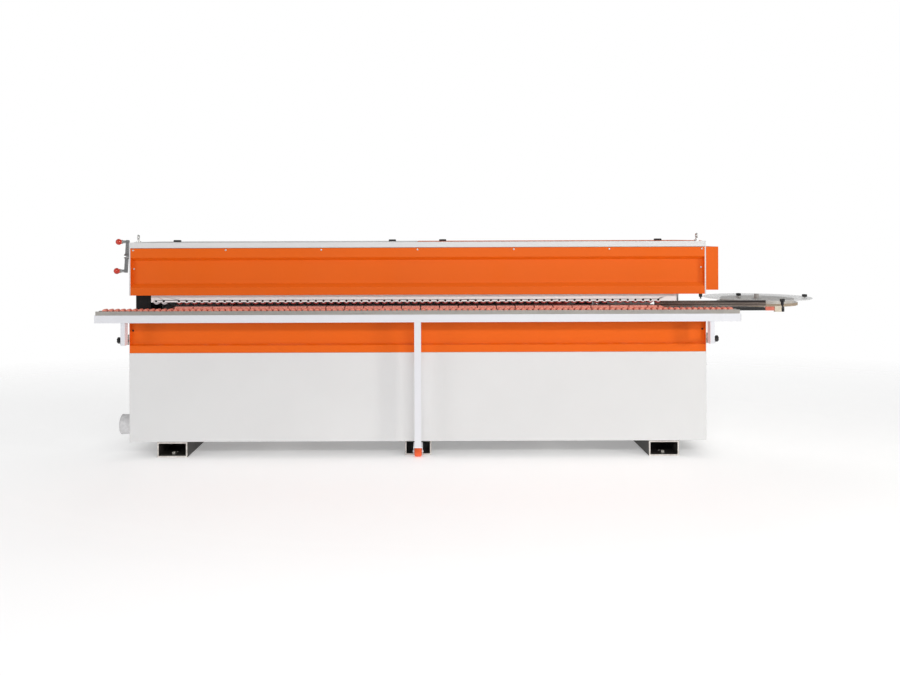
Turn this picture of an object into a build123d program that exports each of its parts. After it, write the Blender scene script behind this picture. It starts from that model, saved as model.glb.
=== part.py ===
from build123d import *
import math
import os

# Edge banding machine.  Sizes are in millimetres.
# X runs along the feed, Y from the operator's side to the back, and Z up from the floor.
# The model is laid out about the middle of the base, with Y = 0 on the front of the casing,
# and it is moved at the end so that the origin is the middle of the overall floor rectangle.

# Casing
HALF_LENGTH = 1760.0
BASE_DEPTH = 700.0
HOOD_DEPTH = 620.0
FOOT_HEIGHT = 94.0
BASE_TOP = 637.0
APRON_TOP = 870.0
HOOD_BOTTOM = 988.0
LEFT_CHEEK_FOOT_Y = 150.0
RIGHT_CHEEK_FOOT_Y = 560.0
ORANGE_TOP = 1275.0
HOOD_TOP = 1311.0
SHEET = 2.0
CHEEK = 8.0
HOOD_RECESS = 25.0
APRON_RECESS = 18.0
LID_SHEET = 2.0
LID_BOTTOM = HOOD_TOP + 1.0
LID_TOP = LID_BOTTOM + LID_SHEET
LID_RIB = 12.0
EYE_X = 1714.0
EYE_Y = 38.0
EYE_CENTRE = HOOD_TOP + 33.0
HANDLE_X = (155.0, 1480.0)
HANDLE_HALF = 22.0
HANDLE_HEIGHT = 12.0
REAR_NOTCH_X = 1585.0
REAR_NOTCH_TOP = 1090.0

# Feet and base frame
FOOT_X = 1500.0
END_FOOT_WIDTH = 185.0
CENTRE_FOOT_WIDTH = 163.0
CENTRE_FOOT_SETBACK = 40.0
FOOT_WALL = 10.0
ANCHOR_Y = (100.0, 600.0)
ANCHOR_R = 9.0
LEVELLER_Y = (45.0, 655.0)
LEVELLER_R = 10.0
LEVELLER_TOP = 26.0
LEVELLER_NUT = (17.0, 14.0)
TUBE = 60.0
POST_X = (-1720.0, -860.0, 0.0, 860.0, 1720.0)
LOWER_RING = (FOOT_HEIGHT, FOOT_HEIGHT + TUBE)
UPPER_RING = (620.0, 620.0 + TUBE)
BED_Z = (810.0, 830.0)
BED_FRONT = 135.0
BED_X = (-1330.0, 1740.0)

# Working level and the feed chain
WORK_LEVEL = 915.0
CHAIN_Y = (32.0, 122.0)
WORK_LINE = 125.0
SPROCKET_X = 1465.0
SPROCKET_Z = 800.0
CHAIN_R = 85.0
PAD_COUNT = 110
PAD_LENGTH = 52.0
PAD_INNER = 7.0
PAD_OUTER = WORK_LEVEL - SPROCKET_Z - CHAIN_R
LINK_LENGTH = 44.0
LINK_HALF = 6.5
LINK_Y = (62.0, 92.0)
SPROCKET_TEETH = 12
SPROCKET_R = 76.0
SPROCKET_ROOT_R = 66.0
SHAFT_R = 12.0
RUNNING = 0.06

# Pressure beam and its wheels
BEAM_X = (-1639.0, 1591.0)
BEAM_Y = (40.0, 100.0)
BEAM_Z = (943.0, 1000.0)
BEAM_WALL = 6.0
WHEEL_Z = 950.0
WHEEL_R = 21.0
WHEEL_PITCH = 46.75
WHEEL_FIRST = -1467.0
WHEEL_COUNT = 64
OUTFEED_WHEELS = (-1608.0, -1561.0)
AXLE_R = 5.0
LIFT_X = (-1100.0, 1100.0)
LIFT_Y = 70.0
NUT_TOP = 1070.0
SCREW_R = 8.0
SCREW_Z = (1025.0, 1205.0)
CROSS_Z = 1226.0
CROSS_R = 10.0
GEARBOX_Z = (1180.0, 1262.0)
BRIDGE_Y = (115.0, 165.0)
BRIDGE_Z = (1060.0, 1180.0)
COLUMN_X = (-1750.0, -1660.0)
COLUMN_Y = (94.0, 330.0)

# Height crank
ARM_X = (-1806.0, -1789.0)
ARM_HALF = 10.0
ARM_REACH = 91.0
ARM_TILT = 10.0
GRIP_R = 19.0
GRIP_X = -1853.0
GRIP_ROD_R = 9.0

# Outrigger that carries the far edge of a wide panel
RAIL_X = 1927.0
RAIL_Y = (-120.0, -60.0)
RAIL_Z = (832.0, 878.0)
RAIL_WALL = 3.0
TRACK_TOP = 902.0
TRACK_X = 1920.0
ROLLER_R = 13.0
ROLLER_Z = WORK_LEVEL - ROLLER_R
ROLLER_PITCH = 35.3
ROLLER_COUNT = 107
POST_HALF = 20.0
POST_Y = (-112.0, -72.0)
POST_BOTTOM = 86.0
CASTER_R = 32.0
CASTER_Y = 0.0
CASTER_Z = 33.0
CASTER_HALF = 22.0
FORK_WALL = (24.0, 28.0)
FORK_DEPTH = 12.0
CASTER_AXLE_R = 6.0
HANGER_X = 1760.0
HANGER_HALF = 13.0
GUIDE_X = 1772.0
GUIDE_Z = 711.0
GUIDE_R = 10.0
GUIDE_Y = (-100.0, 620.0)
GUIDE_BLOCK_X = 1812.0
GUIDE_BLOCKS = ((5.0, 65.0), (120.0, 160.0))
KNOB_R = 20.0
KNOB_X = (1824.0, 1844.0)
CLAMP_Y = 35.0
CLAMP_R = 5.0

# Tape magazine and infeed fence
MAGAZINE_X = 2261.0
MAGAZINE_Y = 492.0
LOWER_DISC_R = 252.0
UPPER_DISC_R = 340.0
LOWER_DISC = (886.0, 904.0)
UPPER_DISC = (928.0, 933.0)
COIL_R = (150.0, 230.0)
HUB_R = 30.0
HUB_PIN_R = 15.0
HUB_TOP = 952.0
CORE_KNOB = (132.0, 128.0)
RIM_KNOB = (312.0, -4.0)
DISC_KNOB_R = 16.0
DISC_KNOB_HEIGHT = 17.0
PIVOT_R = 12.0
PIVOT_TOP = 918.0
FENCE_X = (1478.0, 2175.0)
FENCE_Y = (WORK_LINE, WORK_LINE + 6.0)
FENCE_Z = (900.0, 937.0)
BAR_Z = (874.0, 891.0)
TAPE_GUIDE_X = 2280.0
TAPE_GUIDE_Y = WORK_LINE + 6.0
ARM_Z = (850.0, 866.0)

# Control box
CONTROL_X = (1776.0, 1856.0)
CONTROL_Y = (60.0, 300.0)
CONTROL_Z = (1008.0, ORANGE_TOP)
STOP_Y = 130.0
STOP_Z = 1202.0
STOP_STEM_R = 8.0

# Dust outlet
SPIGOT_R = 61.5
SPIGOT_BORE_R = 59.0
SPIGOT_Y = 170.0
SPIGOT_Z = 167.0
SPIGOT_END = -1864.0

# Processing units on the bed
GLUE_X = 1110.0
GLUE_ROLLER_R = 28.0
PRESS_X = 880.0
PRESS_ROLLER_R = 60.0
TRIM_X = -150.0
CUTTER_R = 35.0
BUFF_X = -1010.0
BUFF_R = 50.0
LINE_GAP = 1.0
PANEL_CLEAR = (893.0, 952.0)

# Hinges
PIN_R = 4.0
KNUCKLE_R = 7.0
KNUCKLE_HALF = 20.0
KNUCKLE_GAP = 0.5
FIXED_KNUCKLE = 18.0
LID_AXIS_Y = 628.5
LID_AXIS_Z = 1306.0
LID_HINGES = (300.0, 880.0, 1460.0)
DOOR_Z = (165.0, 615.0)
DOOR_HINGES = (240.0, 540.0)
DOOR_Y = (BASE_DEPTH + 1.0, BASE_DEPTH + 4.0)
DOOR_AXIS_Y = BASE_DEPTH + 8.0
DOORS = {"rear_door_left": (-1150.0, -550.0), "rear_door_right": (700.0, 1300.0)}


def block(x, y, z):
    """Box between the low and high values given for each axis."""
    spans = (x, y, z)
    size = [high - low for low, high in spans]
    middle = [(low + high) / 2 for low, high in spans]
    return Pos(*middle) * Box(*size)


def around(middle, half):
    """Span of a given half width about its middle."""
    return (middle - half, middle + half)


def rod(axis, span, centre, radius):
    """Cylinder along an axis; centre holds its other two coordinates, in X, Y, Z order."""
    middle = (span[0] + span[1]) / 2
    shape = Cylinder(radius, span[1] - span[0])
    if axis == "X":
        return Pos(middle, *centre) * Rot(0, 90, 0) * shape
    if axis == "Y":
        return Pos(centre[0], middle, centre[1]) * Rot(90, 0, 0) * shape
    return Pos(*centre, middle) * shape


def ring(axis, span, centre, outer, inner):
    """Tube along an axis."""
    return rod(axis, span, centre, outer) - rod(axis, span, centre, inner)


def group(solids):
    """Separate solids that share a node."""
    return Compound([solid for shape in solids for solid in shape.solids()])


def moved_sideways(points, distance):
    """An open line in (y, z) moved sideways, with mitred corners."""
    moved = []
    for index, (y, z) in enumerate(points):
        normals = []
        for first in (index - 1, index):
            if first >= 0 and first + 1 < len(points):
                dy = points[first + 1][0] - points[first][0]
                dz = points[first + 1][1] - points[first][1]
                length = math.hypot(dy, dz)
                normals.append((dz / length, -dy / length))
        ny = sum(normal[0] for normal in normals) / len(normals)
        nz = sum(normal[1] for normal in normals) / len(normals)
        scale = distance / (ny * ny + nz * nz)
        moved.append((y + ny * scale, z + nz * scale))
    return moved


def prism(outline, span):
    """Closed (y, z) outline extruded along X."""
    edge = Polyline(*[(span[0], y, z) for y, z in outline], close=True)
    return extrude(make_face(edge), amount=span[1] - span[0], dir=(1, 0, 0))


def folded_sheet(points, span, thickness=SHEET):
    """Sheet whose outer face follows (y, z) points and whose thickness lies behind them."""
    return prism(points + moved_sideways(points, thickness)[::-1], span)


def tray(x, y, z):
    """Shallow panel with four return flanges, open at the back."""
    inside_x = (x[0] + SHEET, x[1] - SHEET)
    inside_z = (z[0] + SHEET, z[1] - SHEET)
    return block(x, y, z) - block(inside_x, (y[0] + SHEET, y[1] + 1), inside_z)


def box_tube(x, y, z, wall, along):
    """Rectangular tube, open at both ends along one axis."""
    spans = {"X": x, "Y": y, "Z": z}
    inside = {}
    for axis, (low, high) in spans.items():
        inside[axis] = (low - 1, high + 1) if axis == along else (low + wall, high - wall)
    return block(x, y, z) - block(inside["X"], inside["Y"], inside["Z"])


# ---------------------------------------------------------------- base

def base_frame():
    front = (10.0, 10.0 + TUBE)
    rear = (BASE_DEPTH - 80.0, BASE_DEPTH - 80.0 + TUBE)
    inner = (front[1], rear[0])
    ends = (POST_X[0] - TUBE / 2, POST_X[-1] + TUBE / 2)
    uprights = (BED_FRONT, BED_FRONT + TUBE)
    tubes = []
    for level in (LOWER_RING, UPPER_RING):
        for depth in (front, rear):
            tubes.append(block(ends, depth, level))
        for x in POST_X:
            tubes.append(block(around(x, TUBE / 2), inner, level))
    for x in POST_X:
        for depth in (front, rear):
            tubes.append(block(around(x, TUBE / 2), depth, (LOWER_RING[1], UPPER_RING[0])))
        if x > BED_X[0]:
            for depth in (uprights, rear):
                tubes.append(block(around(x, TUBE / 2), depth, (UPPER_RING[1], BED_Z[0])))
    return group(tubes)


def bed_plate():
    back = BASE_DEPTH - 2.0 * SHEET
    plate = block(BED_X, (BED_FRONT, back), BED_Z)
    plate += block((-BED_X[1], BED_X[0]), (HOOD_DEPTH - 20.0, back), BED_Z)
    for x, reach in ((TRIM_X, CUTTER_R), (BUFF_X, BUFF_R)):
        slot_back = WORK_LINE + LINE_GAP + reach + 45.0
        plate -= block(around(x, 45.0), (BED_FRONT - 1, slot_back), (BED_Z[0] - 1, BED_Z[1] + 1))
    return plate


def foot(x, half_width, y_front):
    depth = (y_front, BASE_DEPTH)
    shape = box_tube(around(x, half_width), depth, (0.0, FOOT_HEIGHT), FOOT_WALL, "Y")
    for y in LEVELLER_Y:
        place = (x, max(y, y_front + 30.0))
        shape -= rod("Z", (-1.0, FOOT_WALL + 1.0), place, LEVELLER_R)
    return shape


def feet():
    shapes = []
    for x in (-FOOT_X, FOOT_X):
        shape = foot(x, END_FOOT_WIDTH / 2, 0.0)
        for y in ANCHOR_Y:
            shape -= rod("Z", (-1.0, FOOT_WALL + 1.0), (x, y), ANCHOR_R)
        shapes.append(shape)
    shapes.append(foot(0.0, CENTRE_FOOT_WIDTH / 2, CENTRE_FOOT_SETBACK))
    return group(shapes)


def leveller(x, y):
    shank = rod("Z", (0.0, LEVELLER_TOP), (x, y), LEVELLER_R)
    nut = Pos(x, y, FOOT_WALL) * extrude(RegularPolygon(LEVELLER_NUT[0], 6), amount=LEVELLER_NUT[1])
    return shank + nut


def levelling_screws():
    screws = []
    for x, y_front in ((-FOOT_X, 0.0), (0.0, CENTRE_FOOT_SETBACK), (FOOT_X, 0.0)):
        for y in LEVELLER_Y:
            screws.append(leveller(x, max(y, y_front + 30.0)))
    return group(screws)


def front_panels():
    z = (FOOT_HEIGHT + 1.0, BASE_TOP - 1.0)
    inner = HALF_LENGTH - SHEET
    return group([tray((-inner, -0.5), (0.0, 9.0), z), tray((0.5, inner), (0.0, 9.0), z)])


def lower_apron():
    span = (-HALF_LENGTH + SHEET, HALF_LENGTH - SHEET)
    crease = 681.0
    recess_foot = crease + 10.0
    line = [(9.0, BASE_TOP), (0.0, BASE_TOP), (0.0, crease), (APRON_RECESS, recess_foot),
            (APRON_RECESS, APRON_TOP), (28.0, APRON_TOP)]
    shape = folded_sheet(line, span)
    closing = [(0.0, crease), (APRON_RECESS + 1.0, recess_foot), (APRON_RECESS + 1.0, APRON_TOP),
               (0.0, APRON_TOP)]
    for end in ((span[0], span[0] + SHEET), (span[1] - SHEET, span[1])):
        shape += prism(closing, end)
    return shape


def side_plate(sign):
    x = sorted((sign * HALF_LENGTH, sign * (HALF_LENGTH - SHEET)))
    return block(tuple(x), (0.0, BASE_DEPTH - SHEET), (FOOT_HEIGHT, APRON_TOP))


def left_side_panel():
    hole = rod("X", (-HALF_LENGTH - 1, -HALF_LENGTH + 3), (SPIGOT_Y, SPIGOT_Z), SPIGOT_BORE_R)
    return side_plate(-1) - hole


def right_side_panel():
    notch = block((HALF_LENGTH - 3, HALF_LENGTH + 1), around(MAGAZINE_Y, 56.0),
                  (BED_Z[1] - 2.0, APRON_TOP + 1))
    return side_plate(1) - notch


def rear_panel():
    z = (FOOT_HEIGHT, BED_Z[0] - 1.0)
    depth = (BASE_DEPTH - SHEET, BASE_DEPTH)
    shape = block((-HALF_LENGTH, HALF_LENGTH), depth, z)
    for low, high in DOORS.values():
        opening = (low + 12.0, high - 12.0)
        height = (DOOR_Z[0] + 12.0, DOOR_Z[1] - 12.0)
        shape -= block(opening, (depth[0] - 1, depth[1] + 1), height)
    return shape


def dust_spigot():
    flange = ring("X", (-HALF_LENGTH - 3.0, -HALF_LENGTH), (SPIGOT_Y, SPIGOT_Z), 78.0, SPIGOT_BORE_R)
    wall = (SPIGOT_END, -HALF_LENGTH - 3.0)
    return flange + ring("X", wall, (SPIGOT_Y, SPIGOT_Z), SPIGOT_R, SPIGOT_BORE_R)


def electrical_box():
    outer = block((950.0, 1450.0), (360.0, 610.0), (210.0, 590.0))
    return outer - block((953.0, 1447.0), (363.0, 611.0), (213.0, 587.0))


# ---------------------------------------------------------------- feed chain

def conveyor_beam():
    y = (50.0, 105.0)
    shape = box_tube((-1380.0, 1380.0), y, (735.0, 868.0), 5.0, "X")
    shape += block((-1380.0, 1380.0), LINK_Y, (868.0, SPROCKET_Z + CHAIN_R - LINK_HALF - 1.0))
    for sign in (-1, 1):
        span = tuple(sorted((sign * 1370.0, sign * (SPROCKET_X + 30.0))))
        for wall in ((y[0], y[0] + 6.0), (y[1] - 6.0, y[1])):
            shape += block(span, wall, (750.0, 850.0))
        shape -= rod("Y", (y[0] - 1, y[1] + 1), (sign * SPROCKET_X, SPROCKET_Z), SHAFT_R + RUNNING)
    for x in (-1200.0, -400.0, 400.0, 1200.0):
        shape += block(around(x, 40.0), (y[1], BED_FRONT), (760.0, BED_Z[1]))
    return shape


def chain_place(distance):
    """Location of a point of the chain's loop, a stadium about the two sprocket axes."""
    straight = 2 * SPROCKET_X
    turn = math.pi * CHAIN_R
    distance = distance % (2 * straight + 2 * turn)
    if distance < straight:
        return Pos(-SPROCKET_X + distance, 0, SPROCKET_Z) * Rot(0, 0, 0)
    distance -= straight
    if distance < turn:
        return Pos(SPROCKET_X, 0, SPROCKET_Z) * Rot(0, math.degrees(distance / CHAIN_R), 0)
    distance -= turn
    if distance < straight:
        return Pos(SPROCKET_X - distance, 0, SPROCKET_Z) * Rot(0, 180, 0)
    angle = 180 + math.degrees((distance - straight) / CHAIN_R)
    return Pos(-SPROCKET_X, 0, SPROCKET_Z) * Rot(0, angle, 0)


def conveyor_chain():
    loop = 4 * SPROCKET_X + 2 * math.pi * CHAIN_R
    pad = block(around(0.0, PAD_LENGTH / 2), CHAIN_Y, (CHAIN_R + PAD_INNER, CHAIN_R + PAD_OUTER))
    link = block(around(0.0, LINK_LENGTH / 2), LINK_Y, (CHAIN_R - LINK_HALF, CHAIN_R + PAD_INNER))
    carrier = pad + link
    return group([chain_place(loop * index / PAD_COUNT) * carrier for index in range(PAD_COUNT)])


def sprocket(x, shaft_y):
    centre = (x, SPROCKET_Z)
    shape = rod("Y", (68.0, 86.0), centre, SPROCKET_ROOT_R)
    for index in range(SPROCKET_TEETH):
        turn = Rot(0, 360.0 * index / SPROCKET_TEETH, 0)
        tooth = block(around(0.0, 8.0), (72.0, 82.0), (SPROCKET_ROOT_R - 6.0, SPROCKET_R))
        shape += Pos(x, 0, SPROCKET_Z) * turn * tooth
    return shape + rod("Y", shaft_y, centre, SHAFT_R)


def drive_gearmotor():
    x = -SPROCKET_X
    housing = block(around(x, 62.0), (128.0, 240.0), (738.0, 862.0))
    housing -= rod("Y", (127.0, 180.0), (x, SPROCKET_Z), SHAFT_R + RUNNING)
    motor = rod("Y", (240.0, 430.0), (x, SPROCKET_Z), 58.0)
    for index in range(12):
        turn = Rot(0, 30.0 * index, 0)
        motor += Pos(x, 0, SPROCKET_Z) * turn * block(around(0.0, 2.0), (255.0, 400.0), (56.0, 64.0))
    terminal = block(around(x, 40.0), (270.0, 350.0), (SPROCKET_Z + 55.0, SPROCKET_Z + 95.0))
    stand = block(around(x, 62.0), (200.0, 420.0), (UPPER_RING[1], SPROCKET_Z - 62.0))
    return housing + motor + terminal + stand


# ---------------------------------------------------------------- hood

def hood_front():
    span = (-HALF_LENGTH + CHEEK, HALF_LENGTH - CHEEK)
    lower = (1035.0, 1059.0)
    upper = (1200.0, 1218.0)
    line = [(20.0, HOOD_BOTTOM), (0.0, HOOD_BOTTOM), (0.0, lower[0]), (HOOD_RECESS, lower[1]),
            (HOOD_RECESS, upper[0]), (0.0, upper[1]), (0.0, ORANGE_TOP), (20.0, ORANGE_TOP)]
    shape = folded_sheet(line, span)
    closing = [(0.0, lower[0]), (HOOD_RECESS + 1.0, lower[1]), (HOOD_RECESS + 1.0, upper[0]),
               (0.0, upper[1])]
    for end in ((span[0], span[0] + SHEET), (span[1] - SHEET, span[1])):
        shape += prism(closing, end)
    return shape


def hood_rails():
    span = (-HALF_LENGTH + CHEEK, HALF_LENGTH - CHEEK)
    foot_z = ORANGE_TOP + 2.0
    line = [(20.0, foot_z), (0.0, foot_z), (0.0, HOOD_TOP), (60.0, HOOD_TOP), (60.0, foot_z + 12.0)]
    front = folded_sheet(line, span)
    bridge = box_tube(span, BRIDGE_Y, BRIDGE_Z, 4.0, "X")
    return group([front, bridge])


def cheek(sign, foot_y):
    span = tuple(sorted((sign * HALF_LENGTH, sign * (HALF_LENGTH - CHEEK))))
    outline = [(0.0, HOOD_BOTTOM), (0.0, HOOD_TOP), (HOOD_DEPTH, HOOD_TOP), (HOOD_DEPTH, APRON_TOP),
               (foot_y, APRON_TOP), (foot_y, HOOD_BOTTOM)]
    return prism(outline, span)


def hood_left_cheek():
    hole = rod("X", (-HALF_LENGTH - 1, -HALF_LENGTH + 9), (LIFT_Y, CROSS_Z), CROSS_R + RUNNING)
    return cheek(-1, LEFT_CHEEK_FOOT_Y) - hole


def hood_right_cheek():
    return cheek(1, RIGHT_CHEEK_FOOT_Y)


def hood_rear():
    span = (-HALF_LENGTH + CHEEK, HALF_LENGTH - CHEEK)
    line = [(HOOD_DEPTH, BED_Z[1]), (HOOD_DEPTH, HOOD_TOP), (HOOD_DEPTH - 28.0, HOOD_TOP)]
    shape = folded_sheet(line, span, -SHEET)
    lip = block(span, (HOOD_DEPTH - 28.0, HOOD_DEPTH - SHEET), (BED_Z[1], BED_Z[1] + SHEET))
    notch_y = (HOOD_DEPTH - 30.0, HOOD_DEPTH + 1.0)
    return shape + lip - block((REAR_NOTCH_X, HALF_LENGTH), notch_y, (BED_Z[1] - 1.0, REAR_NOTCH_TOP))


def lid(sign):
    x = tuple(sorted((sign * 1.5, sign * (HALF_LENGTH - 2.0))))
    rib_x = tuple(sorted((sign * 60.0, sign * (HALF_LENGTH - 60.0))))
    shape = block(x, (2.0, 612.0), (LID_BOTTOM, LID_TOP))
    for y in (90.0, 330.0, 560.0):
        shape += block(rib_x, around(y, 5.0), (LID_BOTTOM - LID_RIB, LID_BOTTOM))
    for position in LID_HINGES:
        span = around(sign * position, KNUCKLE_HALF)
        shape += block(span, (611.0, LID_AXIS_Y), (LID_BOTTOM, LID_TOP))
        shape += rod("X", span, (LID_AXIS_Y, LID_AXIS_Z), KNUCKLE_R)
        shape -= rod("X", span, (LID_AXIS_Y, LID_AXIS_Z), PIN_R + RUNNING)
    corner = tuple(sorted((sign * (EYE_X - 26.0), sign * HALF_LENGTH)))
    return shape - block(corner, (0.0, EYE_Y + 36.0), (LID_BOTTOM - 1.0, LID_TOP + 1.0))


def cup_handle(x):
    """Low pull with a pocket that is open to the back, for the fingertips."""
    y = (46.0, 64.0)
    top = LID_TOP + HANDLE_HEIGHT
    shape = block(around(x, HANDLE_HALF), y, (LID_TOP, top))
    shape = chamfer(shape.edges().filter_by(Axis.Y).group_by(Axis.Z)[-1], 3.0)
    return shape - block(around(x, HANDLE_HALF - 4.0), (y[0] + 6.0, y[1] + 1.0), (LID_TOP - 1.0, top - 3.5))


def left_lid_handles():
    return group([cup_handle(-x) for x in HANDLE_X])


def right_lid_handles():
    return group([cup_handle(x) for x in HANDLE_X])


def fixed_hinge(axis, middle, centre, leaf):
    """Pin with its two fixed knuckles, and a leaf that ties each knuckle to the casing."""
    inner = KNUCKLE_HALF + KNUCKLE_GAP
    outer = inner + FIXED_KNUCKLE
    shape = rod(axis, around(middle, outer), centre, PIN_R)
    for sign in (-1, 1):
        span = tuple(sorted((middle + sign * inner, middle + sign * outer)))
        shape += rod(axis, span, centre, KNUCKLE_R)
        shape += leaf(span)
    return shape


def hinge_pins():
    shapes = []
    for sign in (-1, 1):
        for position in LID_HINGES:
            leaf = lambda span: block(span, (HOOD_DEPTH, HOOD_DEPTH + 4.0), (LID_AXIS_Z - 40.0, LID_AXIS_Z))
            shapes.append(fixed_hinge("X", sign * position, (LID_AXIS_Y, LID_AXIS_Z), leaf))
    for low, high in DOORS.values():
        x = low - 9.0
        for z in DOOR_HINGES:
            leaf = lambda span: block((x - 24.0, x), (BASE_DEPTH, BASE_DEPTH + 4.0), span)
            shapes.append(fixed_hinge("Z", z, (x, DOOR_AXIS_Y), leaf))
    return group(shapes)


def rear_door(name):
    low, high = DOORS[name]
    x = low - 9.0
    shape = block((low, high), DOOR_Y, DOOR_Z)
    for z in DOOR_HINGES:
        span = around(z, KNUCKLE_HALF)
        shape += block((x, low + 1.0), DOOR_Y, span)
        shape += rod("Z", span, (x, DOOR_AXIS_Y), KNUCKLE_R)
        shape -= rod("Z", span, (x, DOOR_AXIS_Y), PIN_R + RUNNING)
    lock_x = high - 35.0
    middle_z = (DOOR_Z[0] + DOOR_Z[1]) / 2
    shape += rod("Y", (DOOR_Y[1], DOOR_Y[1] + 5.0), (lock_x, middle_z), 14.0)
    shape += block(around(lock_x, 4.0), (DOOR_Y[1] + 5.0, DOOR_Y[1] + 12.0), around(middle_z, 16.0))
    return shape


def screw_head(x, y, z):
    return rod("Y", (y - 3.0, y), (x, z), 6.0)


def panel_screws():
    heads = []
    for x in (-1735.0, -1170.0, -587.0, 0.0, 587.0, 1170.0, 1735.0):
        heads.append(screw_head(x, 0.0, 1264.0))
    for sign in (-1, 1):
        heads.append(screw_head(sign * 1738.0, HOOD_RECESS, 1150.0))
        heads.append(screw_head(sign * 1742.0, APRON_RECESS, 772.0))
    return group(heads)


def lifting_eye(x):
    ring_r = 12.0
    wire_r = 4.5
    collar = rod("Z", (HOOD_TOP, HOOD_TOP + 8.0), (x, EYE_Y), 15.0)
    shank = rod("Z", (HOOD_TOP, EYE_CENTRE - ring_r), (x, EYE_Y), 7.0)
    return collar + shank + Pos(x, EYE_Y, EYE_CENTRE) * Rot(0, 90, 0) * Torus(ring_r, wire_r)


def lifting_eyes():
    return group([lifting_eye(-EYE_X), lifting_eye(EYE_X)])


# ---------------------------------------------------------------- pressure beam and its lift

def wheel_places():
    row = [WHEEL_FIRST + WHEEL_PITCH * index for index in range(WHEEL_COUNT)]
    return list(OUTFEED_WHEELS) + row


def pressure_beam():
    y = BEAM_Y
    shape = block(BEAM_X, y, BEAM_Z)
    inside = (y[0] + BEAM_WALL, y[1] - BEAM_WALL)
    shape -= block((BEAM_X[0] - 1, BEAM_X[1] + 1), inside, (BEAM_Z[0] - 1, BEAM_Z[1] - BEAM_WALL))
    bosses = []
    holes = []
    for x in wheel_places():
        for wall in ((y[0], y[0] + BEAM_WALL), (y[1] - BEAM_WALL, y[1])):
            bosses.append(rod("Y", wall, (x, WHEEL_Z), 12.0))
        holes.append(rod("Y", (y[0] - 1, y[1] + 1), (x, WHEEL_Z), AXLE_R))
    shape = shape + bosses
    shape = shape - holes
    for x in LIFT_X:
        shape += block(around(x, 32.0), around(LIFT_Y, 24.0), (BEAM_Z[1], NUT_TOP))
        shape -= rod("Z", (BEAM_Z[1] - BEAM_WALL - 1, NUT_TOP + 1), (x, LIFT_Y), SCREW_R + RUNNING)
    return shape


def pressure_wheel(x):
    axle = rod("Y", (BEAM_Y[0] - 3.0, BEAM_Y[1] + 3.0), (x, WHEEL_Z), AXLE_R)
    return axle + rod("Y", (BEAM_Y[0] + 10.0, BEAM_Y[1] - 10.0), (x, WHEEL_Z), WHEEL_R)


def pressure_wheels():
    return group([pressure_wheel(x) for x in wheel_places()])


def lift_supports():
    column = block(COLUMN_X, COLUMN_Y, (UPPER_RING[1], BRIDGE_Z[0]))
    shapes = [column]
    for x in LIFT_X:
        box = block(around(x, 36.0), (45.0, 140.0), GEARBOX_Z)
        box -= rod("X", (x - 40.0, x + 40.0), (LIFT_Y, CROSS_Z), CROSS_R + RUNNING)
        box -= rod("Z", (GEARBOX_Z[0] - 1, SCREW_Z[1] + 1), (x, LIFT_Y), SCREW_R + RUNNING)
        shapes.append(box)
    return group(shapes)


def lift_screw(x):
    thread = rod("Z", SCREW_Z, (x, LIFT_Y), SCREW_R)
    collar = rod("Z", (GEARBOX_Z[0] - 12.0, GEARBOX_Z[0] - 1.0), (x, LIFT_Y), 14.0)
    return thread + collar


def crank_turn():
    return Pos(0, LIFT_Y, CROSS_Z) * Rot(-ARM_TILT, 0, 0)


def crank_shaft():
    shape = rod("X", (ARM_X[0], LIFT_X[1] + 30.0), (LIFT_Y, CROSS_Z), CROSS_R)
    arm = block(ARM_X, around(0.0, ARM_HALF), around(0.0, ARM_REACH + ARM_HALF))
    for sign in (-1, 1):
        arm += rod("X", (GRIP_X, ARM_X[1]), (0.0, sign * ARM_REACH), GRIP_ROD_R)
    boss = rod("X", (ARM_X[0] - 4.0, -HALF_LENGTH - 6.0), (LIFT_Y, CROSS_Z), 16.0)
    return shape + boss + crank_turn() * arm


def crank_grips():
    balls = []
    for sign in (-1, 1):
        ball = Pos(GRIP_X, 0, sign * ARM_REACH) * Sphere(GRIP_R)
        ball -= rod("X", (GRIP_X, GRIP_X + 25.0), (0.0, sign * ARM_REACH), GRIP_ROD_R)
        balls.append(crank_turn() * ball)
    return group(balls)


# ---------------------------------------------------------------- outrigger

def outrigger_rail():
    shape = box_tube((-RAIL_X, RAIL_X), RAIL_Y, RAIL_Z, RAIL_WALL, "X")
    post = block(around(0.0, POST_HALF), POST_Y, (POST_BOTTOM, RAIL_Z[0]))
    fork_y = (POST_Y[0], CASTER_Y + FORK_DEPTH)
    fork = block(around(0.0, FORK_WALL[1]), fork_y, (POST_BOTTOM - 6.0, POST_BOTTOM))
    for sign in (-1, 1):
        wall = tuple(sorted((sign * FORK_WALL[0], sign * FORK_WALL[1])))
        fork += block(wall, around(CASTER_Y, FORK_DEPTH), (CASTER_Z - FORK_DEPTH, POST_BOTTOM - 3.0))
    fork += rod("X", (-FORK_WALL[1] - 4.0, FORK_WALL[1] + 4.0), (CASTER_Y, CASTER_Z), CASTER_AXLE_R)
    shape = shape + post + fork
    for sign in (-1, 1):
        hanger_x = around(sign * HANGER_X, HANGER_HALF)
        shape += block(hanger_x, (RAIL_Y[0] + 8.0, RAIL_Y[1] - 2.0), (GUIDE_Z - 15.0, RAIL_Z[0] + 1.0))
        shape -= rod("Y", (GUIDE_Y[0], 0.0), (sign * GUIDE_X, GUIDE_Z), GUIDE_R)
    return shape


def roller_track():
    channel = block((-TRACK_X, TRACK_X), RAIL_Y, (RAIL_Z[1], TRACK_TOP))
    inside = (RAIL_Y[0] + 4.0, RAIL_Y[1] - 4.0)
    return channel - block((-TRACK_X - 1, TRACK_X + 1), inside, (RAIL_Z[1] + 1.0, TRACK_TOP + 1.0))


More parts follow.
